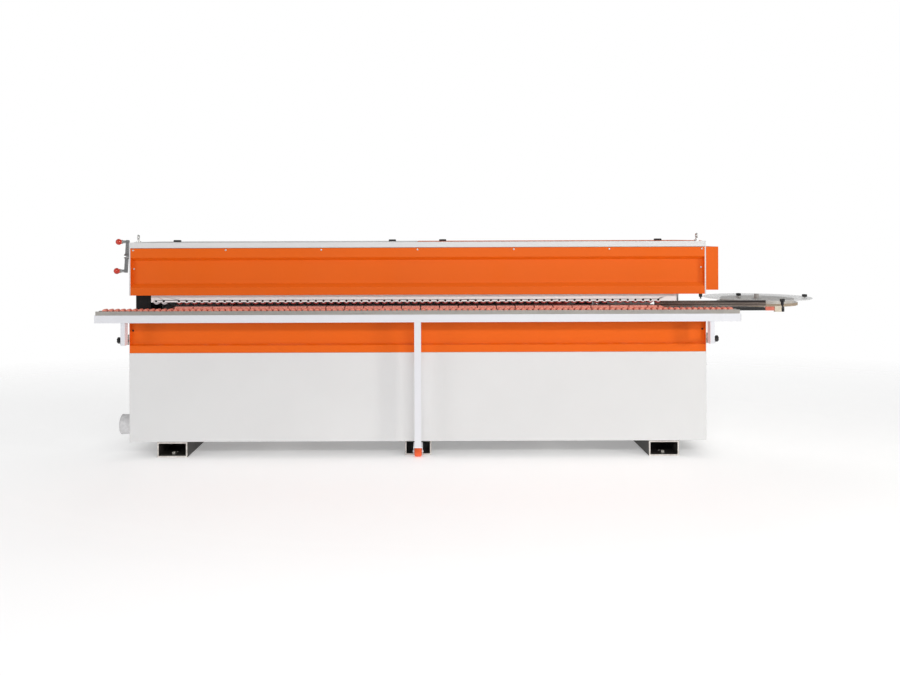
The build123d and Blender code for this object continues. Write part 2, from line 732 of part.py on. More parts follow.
def track_rollers():
    first = -ROLLER_PITCH * (ROLLER_COUNT - 1) / 2
    wall = (RAIL_Y[0] + 4.0, RAIL_Y[1] - 4.0)
    roller = rod("Y", (wall[0] + 3.0, wall[1] - 3.0), (0.0, 0.0), ROLLER_R)
    roller += rod("Y", wall, (0.0, 0.0), 3.0)
    return group([Pos(first + ROLLER_PITCH * index, 0, ROLLER_Z) * roller
                  for index in range(ROLLER_COUNT)])


def guide_bars():
    return group([rod("Y", GUIDE_Y, (sign * GUIDE_X, GUIDE_Z), GUIDE_R) for sign in (-1, 1)])


def guide_blocks():
    shapes = []
    for sign in (-1, 1):
        x = tuple(sorted((sign * HALF_LENGTH, sign * GUIDE_BLOCK_X)))
        for y in GUIDE_BLOCKS:
            shape = block(x, y, (GUIDE_Z - 24.0, GUIDE_Z + 24.0))
            shape -= rod("Y", (y[0] - 1, y[1] + 1), (sign * GUIDE_X, GUIDE_Z), GUIDE_R + RUNNING)
            if y[0] < CLAMP_Y < y[1]:
                stem = tuple(sorted((sign * (GUIDE_X + GUIDE_R - 1.0), sign * (GUIDE_BLOCK_X + 1.0))))
                shape -= rod("X", stem, (CLAMP_Y, GUIDE_Z), CLAMP_R + RUNNING)
            shapes.append(shape)
    return group(shapes)


def clamp_knob(sign):
    stem = tuple(sorted((sign * (GUIDE_X + GUIDE_R + 0.5), sign * (KNOB_X[0] + 2.0))))
    head = tuple(sorted((sign * KNOB_X[0], sign * KNOB_X[1])))
    shape = rod("X", head, (CLAMP_Y, GUIDE_Z), KNOB_R)
    for index in range(6):
        turn = Pos(0, CLAMP_Y, GUIDE_Z) * Rot(60.0 * index, 0, 0)
        shape -= turn * rod("X", (head[0] - 1, head[1] + 1), (0.0, KNOB_R + 4.0), 7.0)
    return shape + rod("X", stem, (CLAMP_Y, GUIDE_Z), CLAMP_R)


def caster_wheel():
    shape = rod("X", (-CASTER_HALF, CASTER_HALF), (CASTER_Y, CASTER_Z), CASTER_R)
    shape = fillet(shape.edges().filter_by(GeomType.CIRCLE), 5.0)
    bore_x = (-CASTER_HALF - 1.0, CASTER_HALF + 1.0)
    return shape - rod("X", bore_x, (CASTER_Y, CASTER_Z), CASTER_AXLE_R + RUNNING)


# ---------------------------------------------------------------- tape magazine and infeed

def magazine_lower_disc():
    centre = (MAGAZINE_X, MAGAZINE_Y)
    shape = rod("Z", LOWER_DISC, centre, LOWER_DISC_R) + rod("Z", (LOWER_DISC[0], UPPER_DISC[0] - 1.0), centre, HUB_R)
    shape += rod("Z", (LOWER_DISC[1], HUB_TOP), centre, HUB_PIN_R)
    return shape - rod("Z", (LOWER_DISC[0] - 1, PIVOT_TOP + 2.0), centre, PIVOT_R + RUNNING)


def knob_place(polar):
    """Place on the discs, from a radius and an angle."""
    turn = math.radians(polar[1])
    return (MAGAZINE_X + polar[0] * math.cos(turn), MAGAZINE_Y + polar[0] * math.sin(turn))


def magazine_upper_disc():
    shape = rod("Z", UPPER_DISC, (MAGAZINE_X, MAGAZINE_Y), UPPER_DISC_R)
    shape -= rod("Z", (UPPER_DISC[0] - 1, UPPER_DISC[1] + 1), (MAGAZINE_X, MAGAZINE_Y), HUB_PIN_R)
    for polar in (CORE_KNOB, RIM_KNOB):
        shape -= rod("Z", (UPPER_DISC[0] - 1, UPPER_DISC[1] + 1), knob_place(polar), 5.0)
    return shape


def tape_coil():
    return ring("Z", (LOWER_DISC[1], UPPER_DISC[0] - 2.0), (MAGAZINE_X, MAGAZINE_Y), COIL_R[1], COIL_R[0])


def disc_knob(polar, bottom):
    """Head on the clear disc, with its stem; bottom is where the stem starts."""
    place = knob_place(polar)
    shape = rod("Z", (UPPER_DISC[1], UPPER_DISC[1] + DISC_KNOB_HEIGHT), place, DISC_KNOB_R)
    return shape + rod("Z", (bottom, UPPER_DISC[1]), place, 5.0)


def magazine_knobs():
    washer = rod("Z", (UPPER_DISC[0] - 4.0, UPPER_DISC[0]), knob_place(RIM_KNOB), 9.0)
    return group([disc_knob(CORE_KNOB, LOWER_DISC[1]), disc_knob(RIM_KNOB, UPPER_DISC[0] - 4.0) + washer])


def tape_guide():
    """Shoe that leads the tape to the fence, its bracket, and the clamp screw with its two heads."""
    shape = block((2174.0, 2236.0), around(TAPE_GUIDE_Y, 5.0), (873.0, 897.0))
    shape += block((2230.0, 2276.0), around(TAPE_GUIDE_Y, 9.0), (865.0, 901.0))
    place = (TAPE_GUIDE_X, TAPE_GUIDE_Y)
    for span, radius in (((865.0, 897.0), 9.0), ((897.0, 938.0), 6.0), ((936.0, 946.0), 12.0)):
        shape += rod("Z", span, place, radius)
    return shape


def magazine_stand():
    arm = block((1500.0, MAGAZINE_X + 40.0), around(MAGAZINE_Y, 50.0), ARM_Z)
    arm += block((1500.0, 1730.0), around(MAGAZINE_Y, 50.0), (BED_Z[1], ARM_Z[0]))
    arm += rod("Z", (ARM_Z[0], PIVOT_TOP), (MAGAZINE_X, MAGAZINE_Y), PIVOT_R)
    foot_x = (1520.0, 1600.0)
    bar = block((foot_x[0], 2176.0), (WORK_LINE - 1.0, WORK_LINE + 10.0), BAR_Z)
    bar += block(foot_x, (WORK_LINE + 10.0, WORK_LINE + 60.0), (BAR_Z[1] - 8.0, BAR_Z[1]))
    bar += block(foot_x, (WORK_LINE + 30.0, WORK_LINE + 60.0), (BED_Z[1], BAR_Z[1]))
    return group([arm, bar + tape_guide()])


def infeed_fence():
    plate = block(FENCE_X, FENCE_Y, FENCE_Z)
    foot_plate = block((1530.0, 1590.0), (FENCE_Y[1], FENCE_Y[1] + 30.0), (FENCE_Z[0], FENCE_Z[0] + 4.0))
    stem = block((1545.0, 1575.0), (FENCE_Y[1] + 10.0, FENCE_Y[1] + 24.0), (BAR_Z[1], FENCE_Z[0]))
    return plate + foot_plate + stem


# ---------------------------------------------------------------- units

def glue_unit():
    line = WORK_LINE + LINE_GAP
    pot = block((GLUE_X - 90.0, GLUE_X + 90.0), (200.0, 340.0), (BED_Z[1], 1010.0))
    pot -= block((GLUE_X - 80.0, GLUE_X + 80.0), (210.0, 330.0), (900.0, 1011.0))
    base = block((GLUE_X - 60.0, GLUE_X + 60.0), (line + 4.0, 200.0), (BED_Z[1], 862.0))
    centre = (GLUE_X, line + GLUE_ROLLER_R)
    base -= rod("Z", (840.0, 863.0), centre, SHAFT_R + RUNNING)
    press_centre = (PRESS_X, line + PRESS_ROLLER_R)
    press = block(around(PRESS_X, 70.0), (line + 4.0, 300.0), (BED_Z[1], 862.0))
    press -= rod("Z", (840.0, 863.0), press_centre, SHAFT_R + RUNNING)
    return group([pot + base, press])


def glue_roller():
    centre = (GLUE_X, WORK_LINE + LINE_GAP + GLUE_ROLLER_R)
    return rod("Z", (866.0, 960.0), centre, GLUE_ROLLER_R) + rod("Z", (842.0, 866.0), centre, SHAFT_R)


def press_roller():
    centre = (PRESS_X, WORK_LINE + LINE_GAP + PRESS_ROLLER_R)
    return rod("Z", (866.0, 960.0), centre, PRESS_ROLLER_R) + rod("Z", (842.0, 866.0), centre, SHAFT_R)


def motor_pair(x, reach):
    """Two upright motors on one axis, with the tools between them, on a post behind the line."""
    centre = (x, WORK_LINE + LINE_GAP + reach)
    post_y = (centre[1] + 60.0, centre[1] + 120.0)
    post = block(around(x, 40.0), post_y, (BED_Z[1], 1040.0))
    shape = post
    for span in ((975.0, 1052.0), (720.0, 868.0)):
        shape += rod("Z", span, centre, 40.0)
    shape += block(around(x, 30.0), (centre[1] + 20.0, post_y[0]), (990.0, 1035.0))
    shape += block(around(x, 30.0), (centre[1] + 20.0, post_y[0]), (BED_Z[1] + 5.0, 860.0))
    for span in ((974.0, 1000.0), (850.0, 869.0)):
        shape -= rod("Z", span, centre, SCREW_R + RUNNING)
    return shape


def tool_pair(x, reach):
    """The upper and lower tools of a unit, each on its motor's spindle."""
    centre = (x, WORK_LINE + LINE_GAP + reach)
    upper = rod("Z", (932.0, PANEL_CLEAR[1]), centre, reach) + rod("Z", (952.0, 998.0), centre, SCREW_R)
    lower = rod("Z", (PANEL_CLEAR[0], 911.0), centre, reach) + rod("Z", (852.0, 893.0), centre, SCREW_R)
    return group([upper, lower])


def control_box():
    outer = block(CONTROL_X, CONTROL_Y, CONTROL_Z)
    inner = block(*[(low + 3.0, high - 3.0) for low, high in (CONTROL_X, CONTROL_Y, CONTROL_Z)])
    bracket = block((HALF_LENGTH, CONTROL_X[0]), (110.0, 260.0), (1060.0, 1220.0))
    shape = outer - inner + bracket
    return shape - rod("X", (CONTROL_X[1] - 4, CONTROL_X[1] + 1), (STOP_Y, STOP_Z), STOP_STEM_R + RUNNING)


def emergency_stop():
    face = CONTROL_X[1]
    stem = rod("X", (face - 12.0, face + 8.0), (STOP_Y, STOP_Z), STOP_STEM_R)
    head = rod("X", (face + 7.0, face + 17.0), (STOP_Y, STOP_Z), 20.0)
    head = fillet(head.edges().filter_by(GeomType.CIRCLE).sort_by(Axis.X)[-1], 6.0)
    return stem + head


NODES = {
    "base_frame": base_frame(),
    "bed_plate": bed_plate(),
    "feet": feet(),
    "levelling_screws": levelling_screws(),
    "front_panels": front_panels(),
    "lower_apron": lower_apron(),
    "left_side_panel": left_side_panel(),
    "right_side_panel": right_side_panel(),
    "rear_panel": rear_panel(),
    "dust_spigot": dust_spigot(),
    "electrical_box": electrical_box(),
    "conveyor_beam": conveyor_beam(),
    "conveyor_chain": conveyor_chain(),
    "drive_gearmotor": drive_gearmotor(),
    "drive_sprocket": sprocket(-SPROCKET_X, (51.0, 170.0)),
    "idler_sprocket": sprocket(SPROCKET_X, (45.0, 110.0)),
    "hood_front": hood_front(),
    "hood_rails": hood_rails(),
    "hood_left_cheek": hood_left_cheek(),
    "hood_right_cheek": hood_right_cheek(),
    "hood_rear": hood_rear(),
    "left_lid": lid(-1),
    "right_lid": lid(1),
    "left_lid_handles": left_lid_handles(),
    "right_lid_handles": right_lid_handles(),
    "hinge_pins": hinge_pins(),
    "rear_door_left": rear_door("rear_door_left"),
    "rear_door_right": rear_door("rear_door_right"),
    "panel_screws": panel_screws(),
    "lifting_eyes": lifting_eyes(),
    "pressure_beam": pressure_beam(),
    "pressure_wheels": pressure_wheels(),
    "lift_supports": lift_supports(),
    "left_lift_screw": lift_screw(LIFT_X[0]),
    "right_lift_screw": lift_screw(LIFT_X[1]),
    "crank_shaft": crank_shaft(),
    "crank_grips": crank_grips(),
    "outrigger_rail": outrigger_rail(),
    "roller_track": roller_track(),
    "track_rollers": track_rollers(),
    "guide_bars": guide_bars(),
    "guide_blocks": guide_blocks(),
    "left_clamp_knob": clamp_knob(-1),
    "right_clamp_knob": clamp_knob(1),
    "caster_wheel": caster_wheel(),
    "magazine_lower_disc": magazine_lower_disc(),
    "magazine_upper_disc": magazine_upper_disc(),
    "tape_coil": tape_coil(),
    "magazine_knobs": magazine_knobs(),
    "magazine_stand": magazine_stand(),
    "infeed_fence": infeed_fence(),
    "glue_unit": glue_unit(),
    "glue_roller": glue_roller(),
    "press_roller": press_roller(),
    "trimming_unit": motor_pair(TRIM_X, CUTTER_R),
    "trim_cutters": tool_pair(TRIM_X, CUTTER_R),
    "buffing_unit": motor_pair(BUFF_X, BUFF_R),
    "buffing_wheels": tool_pair(BUFF_X, BUFF_R),
    "control_box": control_box(),
    "emergency_stop": emergency_stop(),
}


def floor_centre():
    """Middle of the overall rectangle on the floor."""
    boxes = [shape.bounding_box() for shape in NODES.values()]
    low_x = min(box.min.X for box in boxes)
    high_x = max(box.max.X for box in boxes)
    low_y = min(box.min.Y for box in boxes)
    high_y = max(box.max.Y for box in boxes)
    return (low_x + high_x) / 2, (low_y + high_y) / 2


os.makedirs("parts", exist_ok=True)
centre_x, centre_y = floor_centre()
for name, shape in NODES.items():
    export_step(Pos(-centre_x, -centre_y, 0) * shape, "parts/" + name + ".step")
print("nodes", len(NODES), "origin at", round(centre_x, 4), round(centre_y, 4))
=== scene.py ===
import math
import random

import bmesh
import bpy
from mathutils import Matrix, Vector


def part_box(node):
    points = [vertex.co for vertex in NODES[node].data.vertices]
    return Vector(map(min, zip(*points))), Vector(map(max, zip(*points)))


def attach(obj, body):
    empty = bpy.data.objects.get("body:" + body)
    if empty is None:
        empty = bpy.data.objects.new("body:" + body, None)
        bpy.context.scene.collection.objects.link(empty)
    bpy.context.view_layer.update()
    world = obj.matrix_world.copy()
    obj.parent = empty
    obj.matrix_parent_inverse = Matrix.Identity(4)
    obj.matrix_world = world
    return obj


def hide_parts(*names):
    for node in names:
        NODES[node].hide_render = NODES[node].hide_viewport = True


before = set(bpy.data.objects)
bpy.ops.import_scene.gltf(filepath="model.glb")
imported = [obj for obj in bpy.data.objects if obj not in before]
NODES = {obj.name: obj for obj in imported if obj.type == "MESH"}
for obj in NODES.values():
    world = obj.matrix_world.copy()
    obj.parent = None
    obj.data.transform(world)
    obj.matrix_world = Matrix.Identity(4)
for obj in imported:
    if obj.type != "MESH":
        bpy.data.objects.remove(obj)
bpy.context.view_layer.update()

# Every length is in metres, in the frame of the CAD model.
FRONT_LOW, FRONT_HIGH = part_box("front_panels")
MID_X = (FRONT_LOW.x + FRONT_HIGH.x) / 2
FRONT_Y = FRONT_LOW.y


# ---------------------------------------------------------------- shaders

def srgb(red, green, blue):
    """Linear colour, with alpha, from 8-bit sRGB values."""
    def linear(value):
        share = value / 255.0
        return share / 12.92 if share <= 0.04045 else ((share + 0.055) / 1.055) ** 2.4
    return (linear(red), linear(green), linear(blue), 1.0)


def scaled(colour, factor):
    """A colour made darker or lighter."""
    return tuple(min(1.0, channel * factor) for channel in colour[:3]) + (1.0,)


class Shader:
    """A material's node tree, with short ways to add the nodes that the finishes share."""

    def __init__(self, name, **constants):
        self.material = bpy.data.materials.new(name)
        self.material.use_nodes = True
        self.tree = self.material.node_tree
        self.surface = self.tree.nodes["Principled BSDF"]
        for socket, value in constants.items():
            self.surface.inputs[socket.replace("_", " ")].default_value = value
        self.place = self.add("ShaderNodeTexCoord").outputs["Object"]
        self.normal = None

    def add(self, kind):
        return self.tree.nodes.new(kind)

    def join(self, output, socket):
        self.tree.links.new(output, socket)

    def noise(self, scale, stretch=(1, 1, 1), detail=3.0):
        """Noise in object space; stretch scales each axis before it."""
        mapping = self.add("ShaderNodeMapping")
        mapping.inputs["Scale"].default_value = stretch
        texture = self.add("ShaderNodeTexNoise")
        texture.inputs["Scale"].default_value = scale
        texture.inputs["Detail"].default_value = detail
        self.join(self.place, mapping.inputs["Vector"])
        self.join(mapping.outputs["Vector"], texture.inputs["Vector"])
        return texture.outputs[0]

    def axis(self, name):
        """One coordinate of the point, in metres."""
        split = self.add("ShaderNodeSeparateXYZ")
        self.join(self.place, split.inputs[0])
        return split.outputs[name]

    def facing(self, name):
        """One component of the surface's own normal."""
        split = self.add("ShaderNodeSeparateXYZ")
        self.join(self.add("ShaderNodeNewGeometry").outputs["Normal"], split.inputs[0])
        return split.outputs[name]

    def math(self, operation, first, second=0.0):
        node = self.add("ShaderNodeMath")
        node.operation = operation
        for socket, value in zip(node.inputs, (first, second)):
            if isinstance(value, (int, float)):
                socket.default_value = value
            else:
                self.join(value, socket)
        return node.outputs[0]

    def remap(self, value, low, high, to_low=0.0, to_high=1.0):
        node = self.add("ShaderNodeMapRange")
        self.join(value, node.inputs["Value"])
        limits = {"From Min": low, "From Max": high, "To Min": to_low, "To Max": to_high}
        for socket, number in limits.items():
            node.inputs[socket].default_value = number
        return node.outputs["Result"]

    def mix(self, factor, first, second):
        """Colour between two colours or colour outputs."""
        node = self.add("ShaderNodeMix")
        node.data_type = "RGBA"
        self.join(factor, node.inputs[0])
        for socket, value in ((node.inputs[6], first), (node.inputs[7], second)):
            if isinstance(value, tuple):
                socket.default_value = value
            else:
                self.join(value, socket)
        return node.outputs[2]

    def colour(self, output):
        self.join(output, self.surface.inputs["Base Color"])

    def roughness(self, output):
        self.join(output, self.surface.inputs["Roughness"])

    def bump(self, height, distance, strength=1.0):
        """Adds one layer of relief; distance is its height in metres."""
        node = self.add("ShaderNodeBump")
        node.inputs["Distance"].default_value = distance
        node.inputs["Strength"].default_value = strength
        self.join(height, node.inputs["Height"])
        if self.normal is not None:
            self.join(self.normal, node.inputs["Normal"])
        self.normal = node.outputs["Normal"]
        self.join(self.normal, self.surface.inputs["Normal"])


def powder_coat(name, colour, roughness=0.36, peel=0.00006, shade=0.94, gloss=0.12):
    """Sprayed paint: slight unevenness of tone, orange peel, and a thin film of dust on ledges."""
    shader = Shader(name, IOR=1.5, Specular_IOR_Level=0.25, Coat_Weight=gloss, Coat_Roughness=0.2)
    tone = shader.remap(shader.noise(1.7), 0.35, 0.65)
    painted = shader.mix(tone, colour, scaled(colour, shade))
    dust = shader.math("MULTIPLY", shader.remap(shader.facing("Z"), 0.75, 1.0, 0.0, 0.1),
                       shader.remap(shader.noise(14.0, detail=5.0), 0.4, 0.65))
    shader.colour(shader.mix(dust, painted, srgb(190, 184, 174)))
    smears = shader.noise(5.0, (1.0, 1.0, 0.35), 5.0)
    shader.roughness(shader.remap(smears, 0.3, 0.7, roughness - 0.05, roughness + 0.09))
    shader.bump(shader.noise(420.0, detail=1.5), peel, 0.5)
    return shader.material


def machined(name, colour, roughness=0.3, stretch=(1.0, 1.0, 1.0), grain=260.0, tarnish=0.8):
    """Bare metal with a cut or drawn grain; stretch under 1 draws the grain out along an axis."""
    shader = Shader(name, Metallic=1.0)
    spots = shader.remap(shader.noise(23.0, detail=5.0), 0.35, 0.7)
    shader.colour(shader.mix(spots, colour, scaled(colour, tarnish)))
    lines = shader.noise(grain, stretch, 4.0)
    shader.roughness(shader.remap(lines, 0.3, 0.7, roughness - 0.08, roughness + 0.12))
    shader.bump(lines, 0.00004, 0.5)
    return shader.material


def moulded(name, colour, roughness=0.45, relief=0.00005, coat=0.0):
    """Moulded plastic or rubber with a fine eroded texture and slight scuffing."""
    shader = Shader(name, IOR=1.46, Coat_Weight=coat, Coat_Roughness=0.1)
    wear = shader.remap(shader.noise(38.0, detail=5.0), 0.45, 0.75)
    shader.colour(shader.mix(wear, colour, scaled(colour, 1.25)))
    shader.roughness(shader.remap(shader.noise(60.0), 0.3, 0.7, roughness - 0.06, roughness + 0.1))
    shader.bump(shader.noise(900.0, detail=2.0), relief, 0.6)
    return shader.material


def cast_paint(name, colour):
    """Painted castings: a coarser skin than sheet metal, with darker hollows."""
    shader = Shader(name, IOR=1.5, Coat_Weight=0.1, Coat_Roughness=0.3)
    skin = shader.noise(150.0, detail=4.0)
    shader.colour(shader.mix(shader.remap(skin, 0.35, 0.65), scaled(colour, 0.8), colour))
    shader.roughness(shader.remap(skin, 0.3, 0.7, 0.42, 0.6))
    shader.bump(skin, 0.0003, 0.6)
    return shader.material


def foot_coat_painted_shade():
    """Feet pale on their front faces and near-black on every other face as painted shade, with scuffs near
    the floor.
    """
    shader = Shader("foot_coat_painted_shade", IOR=1.5)
    # Painted shade: faces not turned to the front are painted near-black, and the front faces stay pale.
    front = shader.remap(shader.facing("Y"), -0.9, -0.6, 1.0, 0.0)
    scuffs = shader.remap(shader.noise(30.0, detail=6.0), 0.55, 0.75)
    black = shader.mix(scuffs, srgb(50, 47, 44), srgb(84, 79, 74))
    pale = shader.mix(shader.remap(shader.noise(60.0), 0.35, 0.65), srgb(196, 190, 184), srgb(222, 218, 212))
    shader.colour(shader.mix(front, black, pale))
    shader.roughness(shader.remap(scuffs, 0.0, 1.0, 0.45, 0.65))
    shader.bump(shader.noise(300.0), 0.0001, 0.5)
    return shader.material


def fence_finish():
    """Brushed stainless with a dark band of painted shade on top, deeper towards the right end, and a bright
    lower lip that is a painted highlight.
    """
    shader = Shader("fence_finish", IOR=2.4, Metallic=0.75)
    grain = shader.noise(600.0, (0.02, 1.0, 1.0), 5.0)
    base = shader.mix(shader.remap(grain, 0.3, 0.7), srgb(128, 114, 104), srgb(166, 152, 142))
    height = shader.axis("Z")
    # Painted shade: a dark band along the top, deeper towards the right end.
    dark = shader.remap(height, FENCE_TOP - 0.016, FENCE_TOP - 0.011)
    along = shader.remap(shader.math("SUBTRACT", shader.axis("X"), MID_X), 1.75, 1.95, 0.35, 1.0)
    with_painted_shade = shader.mix(shader.math("MULTIPLY", dark, along), base, srgb(52, 42, 42))
    line = shader.math("MULTIPLY", shader.remap(height, FENCE_TOP - 0.027, FENCE_TOP - 0.025),
                       shader.remap(height, FENCE_TOP - 0.023, FENCE_TOP - 0.021, 1.0, 0.0))
    with_painted_shade = shader.mix(line, with_painted_shade, srgb(60, 44, 40))
    # Painted highlight: a bright band along the lower edge.
    painted_highlight_lip = shader.remap(height, FENCE_TOP - 0.039, FENCE_TOP - 0.035, 1.0, 0.0)
    shader.colour(shader.mix(painted_highlight_lip, with_painted_shade, srgb(220, 206, 192)))
    shader.roughness(shader.remap(grain, 0.3, 0.7, 0.2, 0.3))
    shader.bump(grain, 0.00004, 0.4)
    return shader.material


# The tape guide: how far it reaches behind the casings' face, and where its parts start along the machine.
GUIDE_BACK = 0.17
GUIDE_LEFT = 2.172
BRACKET_LEFT = 2.2295
SCREW_LEFT = 2.2725


def stand_paint():
    """Black stand whose tape guide has a salmon shoe and a pale bracket before its screw."""
    shader = Shader("stand_paint", IOR=1.48)
    across = shader.math("SUBTRACT", shader.axis("X"), MID_X)
    front = shader.math("LESS_THAN", shader.math("SUBTRACT", shader.axis("Y"), FRONT_Y), GUIDE_BACK)
    guide = shader.math("MULTIPLY", front, shader.math("GREATER_THAN", across, GUIDE_LEFT))
    bracket = shader.math("GREATER_THAN", across, BRACKET_LEFT)
    screw = shader.math("GREATER_THAN", across, SCREW_LEFT)
    wear = shader.remap(shader.noise(40.0, detail=5.0), 0.4, 0.7)
    black = shader.mix(wear, srgb(24, 24, 26), srgb(40, 39, 40))
    salmon = shader.mix(wear, srgb(206, 104, 84), srgb(222, 128, 108))
    beige = shader.mix(wear, srgb(206, 196, 176), srgb(224, 216, 200))
    painted = shader.mix(bracket, salmon, shader.mix(screw, beige, black))
    shader.colour(shader.mix(guide, black, painted))
    shader.roughness(shader.remap(shader.noise(80.0), 0.3, 0.7, 0.38, 0.5))
    shader.bump(shader.noise(900.0), 0.00005, 0.3)
    return shader.material


def distance_from(shader, point):
    """Distance from the upright axis through a point."""
    across = shader.math("SUBTRACT", shader.axis("X"), point.x)
    along = shader.math("SUBTRACT", shader.axis("Y"), point.y)
    squares = shader.math("ADD", shader.math("MULTIPLY", across, across),
                          shader.math("MULTIPLY", along, along))
    return shader.math("SQRT", squares)


HUB_RADIUS = 0.04
TAPE_THICKNESS = 0.0018


def disc_board(middle):
    """Board with a pale laminate on both faces and a raw brown-grey edge, round a grey hub."""
    shader = Shader("disc_board", IOR=1.46)
    hub = shader.math("LESS_THAN", distance_from(shader, middle), HUB_RADIUS)
    face = shader.remap(shader.math("ABSOLUTE", shader.facing("Z")), 0.6, 0.8)
    fibres = shader.noise(240.0, (1.0, 1.0, 4.0), 5.0)
    edge = shader.mix(shader.remap(fibres, 0.35, 0.65), srgb(150, 132, 112), srgb(182, 166, 146))
    laminate = shader.mix(shader.noise(12.0), srgb(228, 225, 220), srgb(238, 236, 232))
    grey = shader.mix(shader.noise(50.0), srgb(150, 146, 142), srgb(186, 182, 178))
    shader.colour(shader.mix(hub, shader.mix(face, edge, laminate), grey))
    shader.roughness(shader.remap(face, 0.0, 1.0, 0.8, 0.35))
    shader.bump(fibres, 0.0002, 0.4)
    return shader.material


def pad_rubber():
    """Feed pads: red rubber on the sides, and paler grey on the tread as a painted highlight."""
    shader = Shader("pad_rubber", IOR=1.45)
    # Painted highlight: faces that point up or down are painted pale grey, and the sides stay red.
    tread = shader.remap(shader.math("ABSOLUTE", shader.facing("Z")), 0.6, 0.8)
    worn = shader.noise(55.0, detail=5.0)
    grey = shader.mix(shader.remap(worn, 0.35, 0.65), srgb(214, 176, 172), srgb(232, 202, 198))
    red = shader.mix(shader.remap(worn, 0.35, 0.65), srgb(226, 138, 120), srgb(240, 164, 146))
    shader.colour(shader.mix(tread, red, grey))
    shader.roughness(shader.remap(worn, 0.3, 0.7, 0.6, 0.8))
    shader.bump(shader.noise(700.0), 0.00012, 0.6)
    return shader.material


def tape_turns(middle):
    """Edge of a coil of pale tape: fine turns about the magazine's axis."""
    shader = Shader("tape_turns", IOR=1.45)
    waves = 2 * math.pi / TAPE_THICKNESS
    turns = shader.math("SINE", shader.math("MULTIPLY", distance_from(shader, middle), waves))
    uneven = shader.math("MULTIPLY", shader.noise(30.0, detail=5.0), 2.0)
    tone = shader.remap(shader.math("ADD", turns, uneven), 0.0, 2.0)
    shader.colour(shader.mix(tone, srgb(206, 202, 196), srgb(238, 236, 232)))
    shader.roughness(shader.remap(tone, 0.0, 1.0, 0.4, 0.6))
    shader.bump(turns, 0.0002, 0.5)
    return shader.material


def clear_acrylic():
    """Clear disc with faint scratches."""
    shader = Shader("clear_acrylic", IOR=1.49, Transmission_Weight=0.5, Alpha=0.4,
                    Base_Color=(0.95, 0.96, 0.96, 1.0))
    shader.roughness(shader.remap(shader.noise(90.0, (1.0, 6.0, 1.0), 5.0), 0.45, 0.75, 0.03, 0.16))
    return shader.material


def screen_glass():
    """Dark cover of the touch screen."""
    shader = Shader("screen_glass", IOR=1.5, Coat_Weight=1.0, Coat_Roughness=0.03)
    shader.colour(shader.mix(shader.noise(40.0), srgb(12, 16, 22), srgb(22, 30, 40)))
    shader.roughness(shader.remap(shader.noise(15.0), 0.3, 0.7, 0.08, 0.2))
    return shader.material


ORANGE = srgb(236, 101, 6)
FENCE_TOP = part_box("infeed_fence")[1].z
MAGAZINE_CENTRE = (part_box("magazine_lower_disc")[0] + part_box("magazine_lower_disc")[1]) / 2

M = {
    "orange": powder_coat("orange_coat", ORANGE, 0.42, shade=0.97),
    "white": powder_coat("white_coat", srgb(226, 226, 226), 0.42, shade=0.97),
    "rail": powder_coat("rail_coat", srgb(232, 233, 238), 0.30, shade=0.97, gloss=0.3),
    # Painted light: the pressure beam's white is brighter than the casings' white, to offset the shade it
    # sits in under the hood.
    "beam": powder_coat("beam_coat_painted_light", srgb(250, 250, 250), 0.4, shade=0.98),
    "frame": cast_paint("frame_paint", srgb(150, 150, 148)),
    "black": powder_coat("black_coat", srgb(22, 22, 24), 0.45),
    "foot": foot_coat_painted_shade(),
    "casting": cast_paint("casting_paint", srgb(96, 102, 106)),
    "steel": machined("machined_steel", srgb(176, 176, 178), 0.32),
    "dark_steel": machined("blackened_steel", srgb(70, 66, 64), 0.35),
    "turned": machined("turned_steel", srgb(186, 186, 186), 0.24, (0.3, 1.0, 1.0)),
    "brushed": fence_finish(),
    "aluminium": machined("extruded_aluminium", srgb(188, 184, 178), 0.42, (0.01, 1.0, 1.0), 500.0, 0.92),
    "chrome": machined("hard_chrome", srgb(208, 208, 210), 0.12, (1.0, 0.05, 1.0)),
    "stand": stand_paint(),
    "bright_zinc": machined("bright_zinc", srgb(226, 226, 224), 0.34, tarnish=0.94),
    "zinc": machined("zinc_plate", srgb(196, 194, 186), 0.34, tarnish=0.88),
    "pad": pad_rubber(),
    "wheel": moulded("wheel_rubber", srgb(168, 64, 58), 0.6, 0.00012),
    "grey_wheel": moulded("grey_rubber", srgb(206, 202, 206), 0.55, 0.00012),
    "roller": moulded("roller_plastic", srgb(234, 142, 122), 0.42),
    "black_plastic": moulded("black_plastic", srgb(26, 26, 28), 0.42),
    "red": moulded("red_plastic", srgb(208, 52, 26), 0.22, 0.00002, 0.6),
    "caster": moulded("caster_tread", srgb(238, 92, 34), 0.3, 0.00004, 0.3),
    "grey_plastic": moulded("grey_plastic", srgb(212, 211, 212), 0.42),
    "board": disc_board(MAGAZINE_CENTRE),
    "felt": moulded("felt", srgb(214, 204, 186), 0.9, 0.0006),
    "yellow": moulded("yellow_plastic", srgb(232, 188, 30), 0.4),
    "green": moulded("green_plastic", srgb(28, 140, 62), 0.3),
    "blue": moulded("blue_plastic", srgb(36, 84, 168), 0.3),
    "tape": tape_turns(MAGAZINE_CENTRE),
    "clear": clear_acrylic(),
    "screen": screen_glass(),
}

